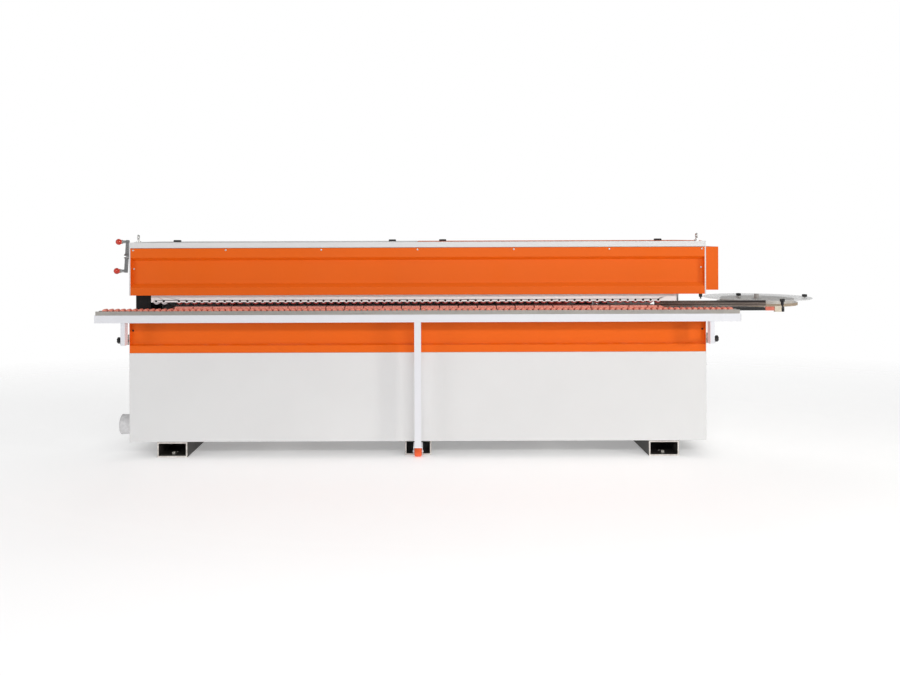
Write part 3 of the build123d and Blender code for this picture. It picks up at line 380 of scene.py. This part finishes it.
FINISHES = {
    "orange": ("lower_apron", "hood_front", "right_lid", "rear_door_left", "rear_door_right", "control_box"),
    "white": ("front_panels", "left_side_panel", "right_side_panel", "rear_panel", "hood_rails",
              "hood_left_cheek", "hood_right_cheek", "hood_rear", "left_lid"),
    "rail": ("outrigger_rail",),
    "beam": ("pressure_beam",),
    "frame": ("base_frame", "electrical_box", "conveyor_beam"),
    "black": ("lift_supports",),
    "stand": ("magazine_stand",),
    "bright_zinc": ("lifting_eyes",),
    "foot": ("feet",),
    "casting": ("drive_gearmotor", "glue_unit", "trimming_unit", "buffing_unit"),
    "steel": ("bed_plate", "drive_sprocket", "idler_sprocket", "glue_roller", "trim_cutters"),
    "turned": ("crank_shaft", "left_lift_screw", "right_lift_screw"),
    "brushed": ("infeed_fence",),
    "aluminium": ("roller_track", "guide_blocks"),
    "chrome": ("guide_bars",),
    "zinc": ("levelling_screws", "hinge_pins", "panel_screws"),
    "pad": ("conveyor_chain",),
    "wheel": ("pressure_wheels", "press_roller"),
    "roller": ("track_rollers",),
    "black_plastic": ("left_lid_handles", "right_lid_handles", "left_clamp_knob", "right_clamp_knob",
                      "magazine_knobs"),
    "red": ("crank_grips", "emergency_stop"),
    "caster": ("caster_wheel",),
    "grey_plastic": ("dust_spigot",),
    "board": ("magazine_lower_disc",),
    "felt": ("buffing_wheels",),
    "tape": ("tape_coil",),
    "clear": ("magazine_upper_disc",),
}

for finish, names in FINISHES.items():
    for name in names:
        mesh = NODES[name].data
        mesh.materials.clear()
        mesh.materials.append(M[finish])


def soften(name, width, segments=2):
    """Rounds the edges of a CAD node with modifiers, which leave its own mesh alone."""
    weld = NODES[name].modifiers.new("weld", "WELD")
    weld.merge_threshold = 0.00002
    bevel = NODES[name].modifiers.new("edges", "BEVEL")
    bevel.width = width
    bevel.segments = segments
    bevel.limit_method = "ANGLE"
    bevel.angle_limit = math.radians(32)
    bevel.harden_normals = True


SOFT_EDGES = {
    0.0007: ("hood_front", "lower_apron", "front_panels", "hood_rails", "left_lid", "right_lid",
             "rear_door_left", "rear_door_right", "left_side_panel", "right_side_panel", "infeed_fence",
             "roller_track", "left_lid_handles", "right_lid_handles", "dust_spigot"),
    0.0016: ("hood_left_cheek", "hood_right_cheek", "outrigger_rail", "pressure_beam", "control_box",
             "guide_blocks", "magazine_stand", "feet", "crank_shaft"),
}
for edge_width, names in SOFT_EDGES.items():
    for name in names:
        soften(name, edge_width)


# ---------------------------------------------------------------- pieces

def loose_boxes(name):
    """Low and high corners of each separate solid of a CAD node, from left to right."""
    mesh = NODES[name].data
    keys = [tuple(round(value, 5) for value in vertex.co) for vertex in mesh.vertices]
    owner = {key: key for key in keys}

    def root(key):
        while owner[key] != key:
            owner[key] = owner[owner[key]]
            key = owner[key]
        return key

    for polygon in mesh.polygons:
        first = root(keys[polygon.vertices[0]])
        for index in polygon.vertices[1:]:
            owner[root(keys[index])] = first
    corners = {}
    for key in owner:
        corners.setdefault(root(key), []).append(key)
    boxes = []
    for points in corners.values():
        low = Vector([min(point[axis] for point in points) for axis in range(3)])
        high = Vector([max(point[axis] for point in points) for axis in range(3)])
        boxes.append((low, high))
    return sorted(boxes, key=lambda box: tuple(box[0]))


def centre(box):
    return (box[0] + box[1]) / 2


def form(build, *values, **options):
    """Vertices and faces of a small closed mesh that a function fills."""
    mesh = bmesh.new()
    build(mesh, *values, **options)
    bmesh.ops.recalc_face_normals(mesh, faces=mesh.faces)
    mesh.verts.index_update()
    points = [vertex.co.copy() for vertex in mesh.verts]
    faces = [[vertex.index for vertex in face.verts] for face in mesh.faces]
    mesh.free()
    return points, faces


def lathe(mesh, profile, segments=24, lobes=0, depth=0.0, hollow=False):
    """Turned shape about Z from (radius, height) pairs; lobes flute it, and hollow leaves a bore."""
    rings = []
    for radius, height in profile:
        ring = []
        for index in range(segments if radius > 0 else 1):
            angle = 2 * math.pi * index / segments
            reach = radius * (1 - depth * (0.5 - 0.5 * math.cos(lobes * angle)))
            ring.append(mesh.verts.new((reach * math.cos(angle), reach * math.sin(angle), height)))
        rings.append(ring)
    pairs = list(zip(rings, rings[1:])) + ([(rings[-1], rings[0])] if hollow else [])
    for lower, upper in pairs:
        for index in range(segments):
            after = (index + 1) % segments
            if len(lower) == 1:
                mesh.faces.new((lower[0], upper[index], upper[after]))
            elif len(upper) == 1:
                mesh.faces.new((lower[index], lower[after], upper[0]))
            else:
                mesh.faces.new((lower[index], lower[after], upper[after], upper[index]))


def slab(mesh, low, high, edge=0.0, segments=2):
    """Block with rounded edges."""
    vertices = bmesh.ops.create_cube(mesh, size=1.0)["verts"]
    for vertex in vertices:
        for axis in range(3):
            vertex.co[axis] = low[axis] if vertex.co[axis] < 0 else high[axis]
    if edge > 0:
        edges = list({link for vertex in vertices for link in vertex.link_edges})
        bmesh.ops.bevel(mesh, geom=edges, offset=edge, segments=segments, affect="EDGES", profile=0.5)


def extrusion(mesh, outline, low, high):
    """Closed (x, z) outline drawn out along Y."""
    near = [mesh.verts.new((x, low, z)) for x, z in outline]
    far = [mesh.verts.new((x, high, z)) for x, z in outline]
    mesh.faces.new(near)
    mesh.faces.new(far[::-1])
    for index in range(len(outline)):
        after = (index + 1) % len(outline)
        mesh.faces.new((near[index], far[index], far[after], near[after]))


def piece(name, copies, finish, body, stands_for=None, crease=35.0):
    """One object from (form, place) pairs."""
    points = []
    faces = []
    for (corners, sides), place in copies:
        start = len(points)
        points.extend(place @ corner for corner in corners)
        faces.extend([start + index for index in side] for side in sides)
    mesh = bpy.data.meshes.new(name)
    mesh.from_pydata(points, [], faces)
    mesh.shade_smooth()
    mesh.set_sharp_from_angle(angle=math.radians(crease))
    mesh.materials.append(M[finish])
    made = bpy.data.objects.new(name, mesh)
    bpy.context.scene.collection.objects.link(made)
    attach(made, body)
    if stands_for:
        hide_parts(stands_for)
    return made


def at(point, turn=Matrix.Identity(4)):
    return Matrix.Translation(point) @ turn


ALONG_X = Matrix.Rotation(math.radians(90), 4, "Y")
ALONG_Y = Matrix.Rotation(math.radians(-90), 4, "X")
TOWARDS_FRONT = Matrix.Rotation(math.radians(90), 4, "X")
TOWARDS_LEFT = Matrix.Rotation(math.radians(-90), 4, "Y")
HERE = Matrix.Identity(4)

# The first wheels at the outfeed end are grey.
OUTFEED_WHEELS = 2


def pressure_wheel_pieces():
    """Rubber tyres on black hubs, on axles with dark nuts outside the beam's walls."""
    places = [at(centre(box), ALONG_Y) for box in loose_boxes("pressure_wheels")]
    radius = 0.021
    half = 0.020
    tyre = form(lathe, [(0.012, -half), (radius - 0.0015, -half), (radius, -half + 0.0015), (radius, -0.004),
                        (radius - 0.001, -0.0025), (radius - 0.001, 0.0025), (radius, 0.004),
                        (radius, half - 0.0015), (radius - 0.0015, half), (0.012, half)], 28, hollow=True)
    hub = form(lathe, [(0, -half - 0.002), (0.0075, -half - 0.002), (0.0075, -half + 0.001),
                       (0.0118, -half + 0.001), (0.0118, half - 0.001), (0.0075, half - 0.001),
                       (0.0075, half + 0.002), (0, half + 0.002)])
    axle = form(lathe, [(0, -0.033), (0.0042, -0.033), (0.005, -0.0322), (0.005, 0.0322), (0.0042, 0.033),
                        (0, 0.033)], 16)
    nut = form(lathe, [(0.005, -0.0328), (0.0066, -0.0328), (0.0072, -0.0322), (0.0072, -0.0302),
                       (0.005, -0.0302)], 6, hollow=True)
    grey = [(tyre, place) for place in places[:OUTFEED_WHEELS]]
    red = [(tyre, place) for place in places[OUTFEED_WHEELS:]]
    piece("outfeed_tyres", grey, "grey_wheel", "pressure_beam", "pressure_wheels")
    piece("pressure_tyres", red, "wheel", "pressure_beam", "pressure_wheels")
    piece("wheel_hubs", [(hub, place) for place in places], "black_plastic", "pressure_beam",
          "pressure_wheels")
    back = Matrix.Rotation(math.pi, 4, "X")
    fittings = [(axle, place) for place in places]
    fittings += [(nut, place) for place in places]
    fittings += [(nut, place @ back) for place in places]
    piece("wheel_axles", fittings, "dark_steel", "pressure_beam", "pressure_wheels")


def track_roller_pieces():
    """Grooved rollers and their pins."""
    places = [at(centre(box), ALONG_Y) for box in loose_boxes("track_rollers")]
    half = 0.023
    outline = [(0, -half), (0.0105, -half), (0.013, -half + 0.0025)]
    for groove in (-0.0115, 0.0, 0.0115):
        outline += [(0.013, groove - 0.0012), (0.0123, groove), (0.013, groove + 0.0012)]
    outline += [(0.013, half - 0.0025), (0.0105, half), (0, half)]
    roller = form(lathe, outline, 24)
    pin = form(lathe, [(0, -0.026), (0.003, -0.026), (0.003, 0.026), (0, 0.026)], 12)
    piece("roller_barrels", [(roller, place) for place in places], "roller", "outrigger",
          "track_rollers")
    piece("roller_pins", [(pin, place) for place in places], "zinc", "outrigger", "track_rollers")


PAD_COUNT = 110
CHAIN_RADIUS = 0.085
IN_SIDE_VIEW = Vector((1.0, 0.0, 1.0))


def chain_places():
    """Places of the pads along the chain's loop, with X along the travel and Z outwards."""
    left = centre(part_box("drive_sprocket")) * IN_SIDE_VIEW
    right = centre(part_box("idler_sprocket")) * IN_SIDE_VIEW
    straight = right.x - left.x
    turn = math.pi * CHAIN_RADIUS
    places = []
    for index in range(PAD_COUNT):
        run = 2 * (straight + turn) * index / PAD_COUNT
        if run < straight:
            places.append(at(left + Vector((run, 0, 0))))
        elif run < straight + turn:
            places.append(at(right, Matrix.Rotation((run - straight) / CHAIN_RADIUS, 4, "Y")))
        elif run < 2 * straight + turn:
            places.append(at(right - Vector((run - straight - turn, 0, 0)), Matrix.Rotation(math.pi, 4, "Y")))
        else:
            angle = math.pi + (run - 2 * straight - turn) / CHAIN_RADIUS
            places.append(at(left, Matrix.Rotation(angle, 4, "Y")))
    return places


def chain_pieces():
    """Grooved rubber pads in pairs, on carrier plates, with link plates and rollers below."""
    low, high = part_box("conveyor_chain")
    base = CHAIN_RADIUS + 0.007
    top = high.z - centre(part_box("drive_sprocket")).z
    reach = 0.0285

    def pad_outline(left, right):
        outline = [(left, base + 0.004), (right, base + 0.004), (right, top - 0.0025), (right - 0.0025, top)]
        for groove in (0.013, 0.0, -0.013):
            outline += [(groove + 0.0016, top), (groove + 0.001, top - 0.0016),
                        (groove - 0.001, top - 0.0016), (groove - 0.0016, top)]
        return outline + [(left + 0.0025, top), (left, top - 0.0025)]

    first = form(extrusion, pad_outline(-0.026, reach), low.y, high.y)
    second = form(extrusion, pad_outline(-reach, 0.026), low.y, high.y)
    plate = form(slab, (-0.0245, low.y + 0.004, base), (0.0245, high.y - 0.004, base + 0.004), 0.0006)
    middle = (low.y + high.y) / 2
    side = form(slab, (-0.022, middle - 0.015, CHAIN_RADIUS - 0.0065), (0.022, middle - 0.012, base), 0.0008)
    other = form(slab, (-0.022, middle + 0.012, CHAIN_RADIUS - 0.0065), (0.022, middle + 0.015, base), 0.0008)
    barrel = form(lathe, [(0, -0.0118), (0.006, -0.0118), (0.006, 0.0118), (0, 0.0118)], 16)
    places = chain_places()
    pads = [((first, second)[index % 2], place) for index, place in enumerate(places)]
    piece("feed_pads", pads, "pad", "machine", "conveyor_chain")
    links = []
    for place in places:
        links += [(plate, place), (side, place), (other, place)]
        for offset in (-0.0145, 0.0145):
            links.append((barrel, place @ at((offset, middle, CHAIN_RADIUS), ALONG_Y)))
    piece("feed_links", links, "dark_steel", "machine", "conveyor_chain")


def crank_pieces():
    """Ball grips with a collar on each rod."""
    radius = (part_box("crank_grips")[1].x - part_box("crank_grips")[0].x) / 2
    outline = [(0, -radius)]
    for index in range(1, 13):
        angle = math.pi * index / 15 - math.pi / 2
        outline.append((radius * math.cos(angle), radius * math.sin(angle)))
    outline += [(0.0125, 0.0165), (0.0125, 0.021), (0.0115, 0.022), (0, 0.022)]
    ball = form(lathe, outline, 32)
    collar = form(lathe, [(0, 0.021), (0.0118, 0.021), (0.0118, 0.025), (0.0102, 0.027), (0, 0.027)])
    places = [at(centre(box), ALONG_X) for box in loose_boxes("crank_grips")]
    piece("crank_balls", [(ball, place) for place in places], "red", "height_crank",
          "crank_grips")
    piece("crank_collars", [(collar, place) for place in places], "zinc", "height_crank")


def clamp_pieces():
    """Fluted knobs with a steel insert, each on its threaded stem."""
    head = form(lathe, [(0, 0), (0.009, 0), (0.0185, 0.004), (0.0198, 0.007), (0.0198, 0.015), (0.018, 0.019),
                        (0.014, 0.02), (0.0085, 0.02), (0.008, 0.0185), (0, 0.0185)], 72, 6, 0.2)
    insert = form(lathe, [(0, 0.0184), (0.0055, 0.0184), (0.0055, 0.0196), (0, 0.0196)], 24)
    for side, sign, turn in (("left", -1, TOWARDS_LEFT), ("right", 1, ALONG_X)):
        low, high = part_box(side + "_clamp_knob")
        tip = high.x if sign > 0 else low.x
        root = low.x if sign > 0 else high.x
        middle = centre((low, high))
        place = at((tip - sign * 0.02, middle.y, middle.z), turn)
        length = abs(tip - root) - 0.018
        stem = form(lathe, [(0, 0), (0.005, 0.0005), (0.005, length), (0, length)], 20)
        piece(side + "_clamp_head", [(head, place)], "black_plastic", side + "_clamp",
              side + "_clamp_knob")
        piece(side + "_clamp_stem", [(stem, at((root, middle.y, middle.z), turn)), (insert, place)], "zinc",
              side + "_clamp", side + "_clamp_knob")


def magazine_pieces():
    """Knurled knobs on their stems, and the wound tape with uneven turns."""
    head_height = 0.017
    for index, (low, high) in enumerate(loose_boxes("magazine_knobs"), 1):
        middle = centre((low, high))
        head = form(lathe, [(0, 0), (0.013, 0), (0.0156, 0.002), (0.016, 0.004), (0.016, 0.0135),
                            (0.0145, 0.0165), (0.009, head_height), (0.0085, 0.0155), (0, 0.0155)],
                    96, 24, 0.06)
        height = high.z - low.z
        stem = form(lathe, [(0, 0), (0.0048, 0), (0.0048, height - head_height + 0.002),
                            (0, height - head_height + 0.002)], 20)
        base = Vector((middle.x, middle.y, high.z - head_height))
        piece("disc_knob_%d" % index, [(head, at(base))], "black_plastic", "tape_magazine",
              "magazine_knobs")
        piece("disc_stem_%d" % index, [(stem, at((middle.x, middle.y, low.z)))], "zinc", "tape_magazine",
              "magazine_knobs")
    low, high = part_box("tape_coil")
    middle = centre((low, high))
    outer = (high.x - low.x) / 2
    inner = 0.150
    thick = high.z - low.z
    turns = 26
    chance = random.Random(7)
    edge = []
    for index in range(turns + 1):
        radius = outer + (inner - outer) * index / turns
        edge.append((radius, thick - 0.0008 * chance.random()))
    outline = [(inner, 0), (outer, 0)] + edge
    piece("wound_tape", [(form(lathe, outline, 128, hollow=True), at((middle.x, middle.y, low.z)))], "tape",
          "tape_magazine", "tape_coil", crease=60.0)


def caster_pieces():
    """Tyre with a rounded tread, on a grey hub with a bearing at each side."""
    place = at(centre(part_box("caster_wheel")), ALONG_X)
    half = (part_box("caster_wheel")[1].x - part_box("caster_wheel")[0].x) / 2
    tyre = form(lathe, [(0.022, -half + 0.002), (0.0265, -half), (0.0305, -half + 0.004),
                        (0.032, -half + 0.011), (0.032, half - 0.011), (0.0305, half - 0.004),
                        (0.0265, half), (0.022, half - 0.002)], 48, hollow=True)
    hub = form(lathe, [(0.0066, -half), (0.011, -half), (0.0115, -half + 0.005), (0.019, -half + 0.0065),
                       (0.0222, -half + 0.0025), (0.0222, half - 0.0025), (0.019, half - 0.0065),
                       (0.0115, half - 0.005), (0.011, half), (0.0066, half)], 40, hollow=True)
    piece("caster_tyre", [(tyre, place)], "caster", "caster_wheel", "caster_wheel")
    piece("caster_hub", [(hub, place)], "grey_plastic", "caster_wheel", "caster_wheel")


# Screws above this height are on the hood, the others on the apron.
HOOD_SCREW_HEIGHT = 1.0


def screw_pieces():
    """Button heads with a socket on the sheet panels."""
    screw = form(lathe, [(0, 0), (0.006, 0), (0.006, 0.0008), (0.0052, 0.0021), (0.0036, 0.003),
                         (0.0027, 0.003), (0.0027, 0.0012), (0, 0.0012)], 24)
    hood = []
    apron = []
    for low, high in loose_boxes("panel_screws"):
        middle = centre((low, high))
        group = hood if middle.z > HOOD_SCREW_HEIGHT else apron
        group.append((screw, at((middle.x, high.y, middle.z), TOWARDS_FRONT)))
    piece("hood_button_screws", hood, "bright_zinc", "machine", "panel_screws")
    piece("apron_button_screws", apron, "dark_steel", "machine", "panel_screws")


def stop_button():
    """Mushroom head on a collar, over a plain yellow plate."""
    low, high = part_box("emergency_stop")
    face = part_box("control_box")[1].x
    middle = centre((low, high))
    reach = high.x - low.x
    shoulder = face - low.x
    head = form(lathe, [(0, 0), (0.0085, 0), (0.0085, shoulder + 0.007), (0.0175, shoulder + 0.0072),
                        (0.020, shoulder + 0.0095), (0.0198, shoulder + 0.012), (0.017, reach - 0.0012),
                        (0.010, reach), (0, reach)], 48)
    piece("stop_mushroom", [(head, at((low.x, middle.y, middle.z), ALONG_X))], "red", "emergency_stop",
          "emergency_stop")
    plate = form(lathe, [(0.0095, 0), (0.030, 0), (0.030, 0.0012), (0.029, 0.0016), (0.0095, 0.0016)], 48,
                 hollow=True)
    piece("stop_plate", [(plate, at((face, middle.y, middle.z), ALONG_X))], "yellow", "machine")


def machine_point(x, y, z):
    """Point from the middle of the base, the face of the casings and the floor."""
    return Vector((MID_X + x, FRONT_Y + y, z))


def block(low, high, edge=0.001):
    return form(slab, machine_point(*low), machine_point(*high), edge)


# Underside of the outrigger rail, without what hangs from it.
RAIL_BOTTOM = 0.832


def rail_ends():
    """Thin dark caps on the ends of the rail and of the roller track."""
    inset = 0.0036
    caps = []
    for node in ("outrigger_rail", "roller_track"):
        low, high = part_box(node)
        floor = max(low.z, RAIL_BOTTOM)
        for end, inside in ((low.x, 1), (high.x, -1)):
            near = end + 0.0002 * inside if inside > 0 else end
            far = end + 0.004 * inside if inside > 0 else end + 0.0025
            caps.append((form(slab, (min(near, far), low.y + inset, floor + inset),
                              (max(near, far), high.y - inset, high.z - inset), 0.0008), HERE))
    piece("rail_end_caps", caps, "black_plastic", "outrigger")


def infeed_switch():
    """Limit switch with a roller, under the right end of the hood's front."""
    copies = [(block((1.722, 0.005, 0.968), (1.739, 0.023, 0.988), 0.0012), HERE),
              (block((1.7275, 0.010, 0.960), (1.7335, 0.018, 0.969), 0.0008), HERE)]
    piece("infeed_switch", copies, "black_plastic", "machine")
    roller = form(lathe, [(0, -0.003), (0.0045, -0.003), (0.005, -0.0025), (0.005, 0.0025), (0.0045, 0.003),
                          (0, 0.003)], 20)
    place = at(machine_point(1.7305, 0.014, 0.9600), ALONG_Y)
    piece("infeed_switch_roller", [(roller, place)], "bright_zinc", "machine")


def operator_panel():
    """Touch screen, push buttons and selector on the outer face of the control box."""
    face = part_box("control_box")[1].x - MID_X
    bezel = [(block((face, 0.166, 1.128), (face + 0.005, 0.286, 1.232), 0.0018), HERE)]
    piece("screen_bezel", bezel, "black_plastic", "machine")
    cover = block((face + 0.0048, 0.174, 1.142), (face + 0.0058, 0.278, 1.224), 0.0004)
    piece("screen_cover", [(cover, HERE)], "screen", "machine")
    collar = form(lathe, [(0.0115, 0), (0.0148, 0), (0.0148, 0.003), (0.0138, 0.0042), (0.0115, 0.0042)], 32,
                  hollow=True)
    button = form(lathe, [(0, 0.0005), (0.0112, 0.0005), (0.0112, 0.0062), (0.0100, 0.0074), (0, 0.0074)], 32)
    spots = {"green": (0.115, 1.135), "blue": (0.115, 1.085), "black_plastic": (0.200, 1.085)}
    places = {}
    for finish, (y, z) in spots.items():
        places[finish] = at(machine_point(face, y, z), ALONG_X)
    piece("button_collars", [(collar, place) for place in places.values()], "bright_zinc", "machine")
    piece("start_button", [(button, places["green"])], "green", "machine")
    piece("reset_button", [(button, places["blue"])], "blue", "machine")
    selector = form(slab, (-0.0095, -0.003, 0.006), (0.0095, 0.003, 0.013), 0.001)
    piece("selector_switch", [(button, places["black_plastic"]), (selector, places["black_plastic"])],
          "black_plastic", "machine")
    seam = []
    for low_y, high_y, low_z, high_z in ((0.075, 0.0765, 1.022, 1.262), (0.2935, 0.295, 1.022, 1.262),
                                         (0.075, 0.295, 1.0205, 1.022), (0.075, 0.295, 1.262, 1.2635)):
        seam.append((block((face, low_y, low_z), (face + 0.0006, high_y, high_z), 0.0002), HERE))
    piece("box_door_seam", seam, "black_plastic", "machine")


def guide_knobs():
    """Knobs above and below the tape guide's bracket, on its screw."""
    place = machine_point(2.280, 0.131, 0.0)
    upper = form(lathe, [(0.0062, 0.908), (0.0095, 0.908), (0.0095, 0.926), (0.0150, 0.929), (0.0158, 0.931),
                         (0.0158, 0.942), (0.0145, 0.9445), (0.0062, 0.9445)], 72, 8, 0.08, True)
    lower = form(lathe, [(0.0096, 0.866), (0.0112, 0.866), (0.0125, 0.868), (0.0125, 0.894), (0.0112, 0.897),
                         (0.0096, 0.897)], 72, 8, 0.06, True)
    piece("tape_guide_knobs", [(upper, at(place)), (lower, at(place))], "black_plastic", "machine")


LOUVRE_COUNT = 9
LOUVRE_DROP = 0.07
LOUVRE_PITCH = 0.021


def door_louvres():
    """Pressed louvres on both rear doors."""
    slat = form(extrusion, [(-0.105, 0.0), (0.105, 0.0), (0.103, 0.0035), (-0.103, 0.0035)], -0.012, 0.0)
    tilt = Matrix.Rotation(math.radians(-60), 4, "X")
    for side in ("left", "right"):
        low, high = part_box("rear_door_" + side)
        middle = (low.x + high.x) / 2
        copies = []
        for index in range(LOUVRE_COUNT):
            height = high.z - LOUVRE_DROP - LOUVRE_PITCH * index
            copies.append((slat, at((middle, high.y, height), tilt)))
        piece("rear_louvres_" + side, copies, "orange", "rear_door_" + side)


SPIGOT_HEIGHT = 0.167


def spigot_rim():
    """Bead round the mouth of the dust outlet and the flap inside it."""
    low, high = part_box("dust_spigot")
    middle = centre((low, high))
    mouth = Vector((low.x, middle.y, SPIGOT_HEIGHT))
    bead = form(lathe, [(0.0600, 0.0005), (0.0617, 0.0005), (0.0630, 0.0018), (0.0630, 0.0048),
                        (0.0617, 0.0062), (0.0600, 0.0062)], 64, hollow=True)
    piece("spigot_bead", [(bead, at(mouth, ALONG_X))], "grey_plastic", "machine")
    flap = form(lathe, [(0, 0.052), (0.0565, 0.052), (0.0565, 0.054), (0, 0.054)], 48)
    piece("spigot_flap", [(flap, at(mouth, ALONG_X))], "black_plastic", "machine")


def glue_cover():
    """Cover of the glue pot with a knob."""
    low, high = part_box("glue_unit")
    knob = form(lathe, [(0, 0), (0.006, 0), (0.005, 0.008), (0.012, 0.012), (0.014, 0.018), (0.011, 0.024),
                        (0, 0.025)], 32)
    lid_top = high.z + 0.008
    near = (low.x + 0.232, low.y + 0.012, high.z)
    far = (high.x - 0.012, high.y - 0.012, lid_top)
    cover = form(slab, near, far, 0.002)
    top = Vector((high.x - 0.085, (low.y + high.y) / 2, lid_top))
    piece("glue_pot_cover", [(cover, HERE)], "aluminium", "machine")
    piece("glue_pot_knob", [(knob, at(top))], "black_plastic", "machine")


pressure_wheel_pieces()
track_roller_pieces()
chain_pieces()
crank_pieces()
clamp_pieces()
magazine_pieces()
caster_pieces()
screw_pieces()
stop_button()
rail_ends()
infeed_switch()
guide_knobs()
operator_panel()
door_louvres()
spigot_rim()
glue_cover()


# ---------------------------------------------------------------- camera

# The lens and the standpoint of a photographer in front of the machine, a little right of its middle.
EYE_DISTANCE = 5.124
EYE_HEIGHT = 1.346
EYE_OFFSET = 0.046
ROLL = math.radians(0.19)

camera_data = bpy.data.cameras.new("camera")
camera = bpy.data.objects.new("camera", camera_data)
bpy.context.scene.collection.objects.link(camera)
camera_data.sensor_width = 36.0
camera_data.lens = 33.6
camera_data.shift_x = 0.0278
camera_data.shift_y = -0.1128
camera_data.clip_end = 200.0
camera.matrix_world = (Matrix.Translation((MID_X + EYE_OFFSET, FRONT_Y - EYE_DISTANCE, EYE_HEIGHT))
                       @ Matrix.Rotation(ROLL, 4, "Y") @ Matrix.Rotation(math.radians(90), 4, "X"))
bpy.context.scene.camera = camera


# ---------------------------------------------------------------- studio

bpy.context.scene.view_settings.view_transform = "Standard"


def soft_box(name, place, target, size, power, colour=(1.0, 1.0, 1.0)):
    """Rectangular soft light aimed at a point."""
    data = bpy.data.lights.new(name, "AREA")
    data.shape = "RECTANGLE"
    data.size, data.size_y = size
    data.energy = power
    data.color = colour
    light = bpy.data.objects.new(name, data)
    bpy.context.scene.collection.objects.link(light)
    light.location = place
    light.rotation_euler = (Vector(target) - Vector(place)).to_track_quat("-Z", "Y").to_euler()


soft_box("key", (0.9, -5.2, 3.0), (0.2, 0.0, 0.8), (4.5, 0.5), 112.0)
soft_box("fill_left", (-5.6, -3.4, 1.12), (-0.6, 0.0, 0.9), (1.8, 0.9), 46.0)
soft_box("fill_right", (5.6, -3.4, 1.3), (0.8, 0.0, 0.9), (0.7, 0.9), 84.0, (1.0, 0.97, 0.91))
soft_box("back", (0.0, 4.5, 4.2), (0.0, 0.3, 0.8), (6.0, 2.0), 90.0)

SKY_LIGHT = 0.36

world = bpy.data.worlds.new("studio")
bpy.context.scene.world = world
world.use_nodes = True
sky = world.node_tree
backdrop = sky.nodes["Background"]
backdrop.inputs["Color"].default_value = (1.0, 1.0, 1.0, 1.0)
backdrop.inputs["Strength"].default_value = SKY_LIGHT
bright = sky.nodes.new("ShaderNodeBackground")
bright.inputs["Color"].default_value = (1.0, 1.0, 1.0, 1.0)
bright.inputs["Strength"].default_value = 1.0
seen = sky.nodes.new("ShaderNodeMixShader")
sky.links.new(sky.nodes.new("ShaderNodeLightPath").outputs["Is Camera Ray"], seen.inputs[0])
sky.links.new(backdrop.outputs[0], seen.inputs[1])
sky.links.new(bright.outputs[0], seen.inputs[2])
sky.links.new(seen.outputs[0], sky.nodes["World Output"].inputs["Surface"])


def studio_floor():
    """Wide pale floor, with a faint unevenness, that fades into the backdrop away from the machine."""
    mesh = bpy.data.meshes.new("floor")
    reach = 12.0
    mesh.from_pydata([(-reach, -reach, 0), (reach, -reach, 0), (reach, reach, 0), (-reach, reach, 0)], [],
                     [(0, 1, 2, 3)])
    floor = bpy.data.objects.new("floor", mesh)
    bpy.context.scene.collection.objects.link(floor)
    shader = Shader("floor_paint", Specular_IOR_Level=0.2, Emission_Color=(1.0, 1.0, 1.0, 1.0),
                    Emission_Strength=0.3)
    shader.colour(shader.mix(shader.noise(0.6), (0.93, 0.93, 0.93, 1.0), (0.97, 0.97, 0.97, 1.0)))
    shader.roughness(shader.remap(shader.noise(6.0), 0.3, 0.7, 0.55, 0.7))
    wide = shader.math("MULTIPLY", shader.axis("X"), 0.6)
    squares = shader.math("ADD", shader.math("MULTIPLY", wide, wide),
                          shader.math("MULTIPLY", shader.axis("Y"), shader.axis("Y")))
    fade = shader.remap(shader.math("SQRT", squares), 1.2, 4.5, 1.0, 0.0)
    shader.join(fade, shader.surface.inputs["Alpha"])
    mesh.materials.append(shader.material)


studio_floor()
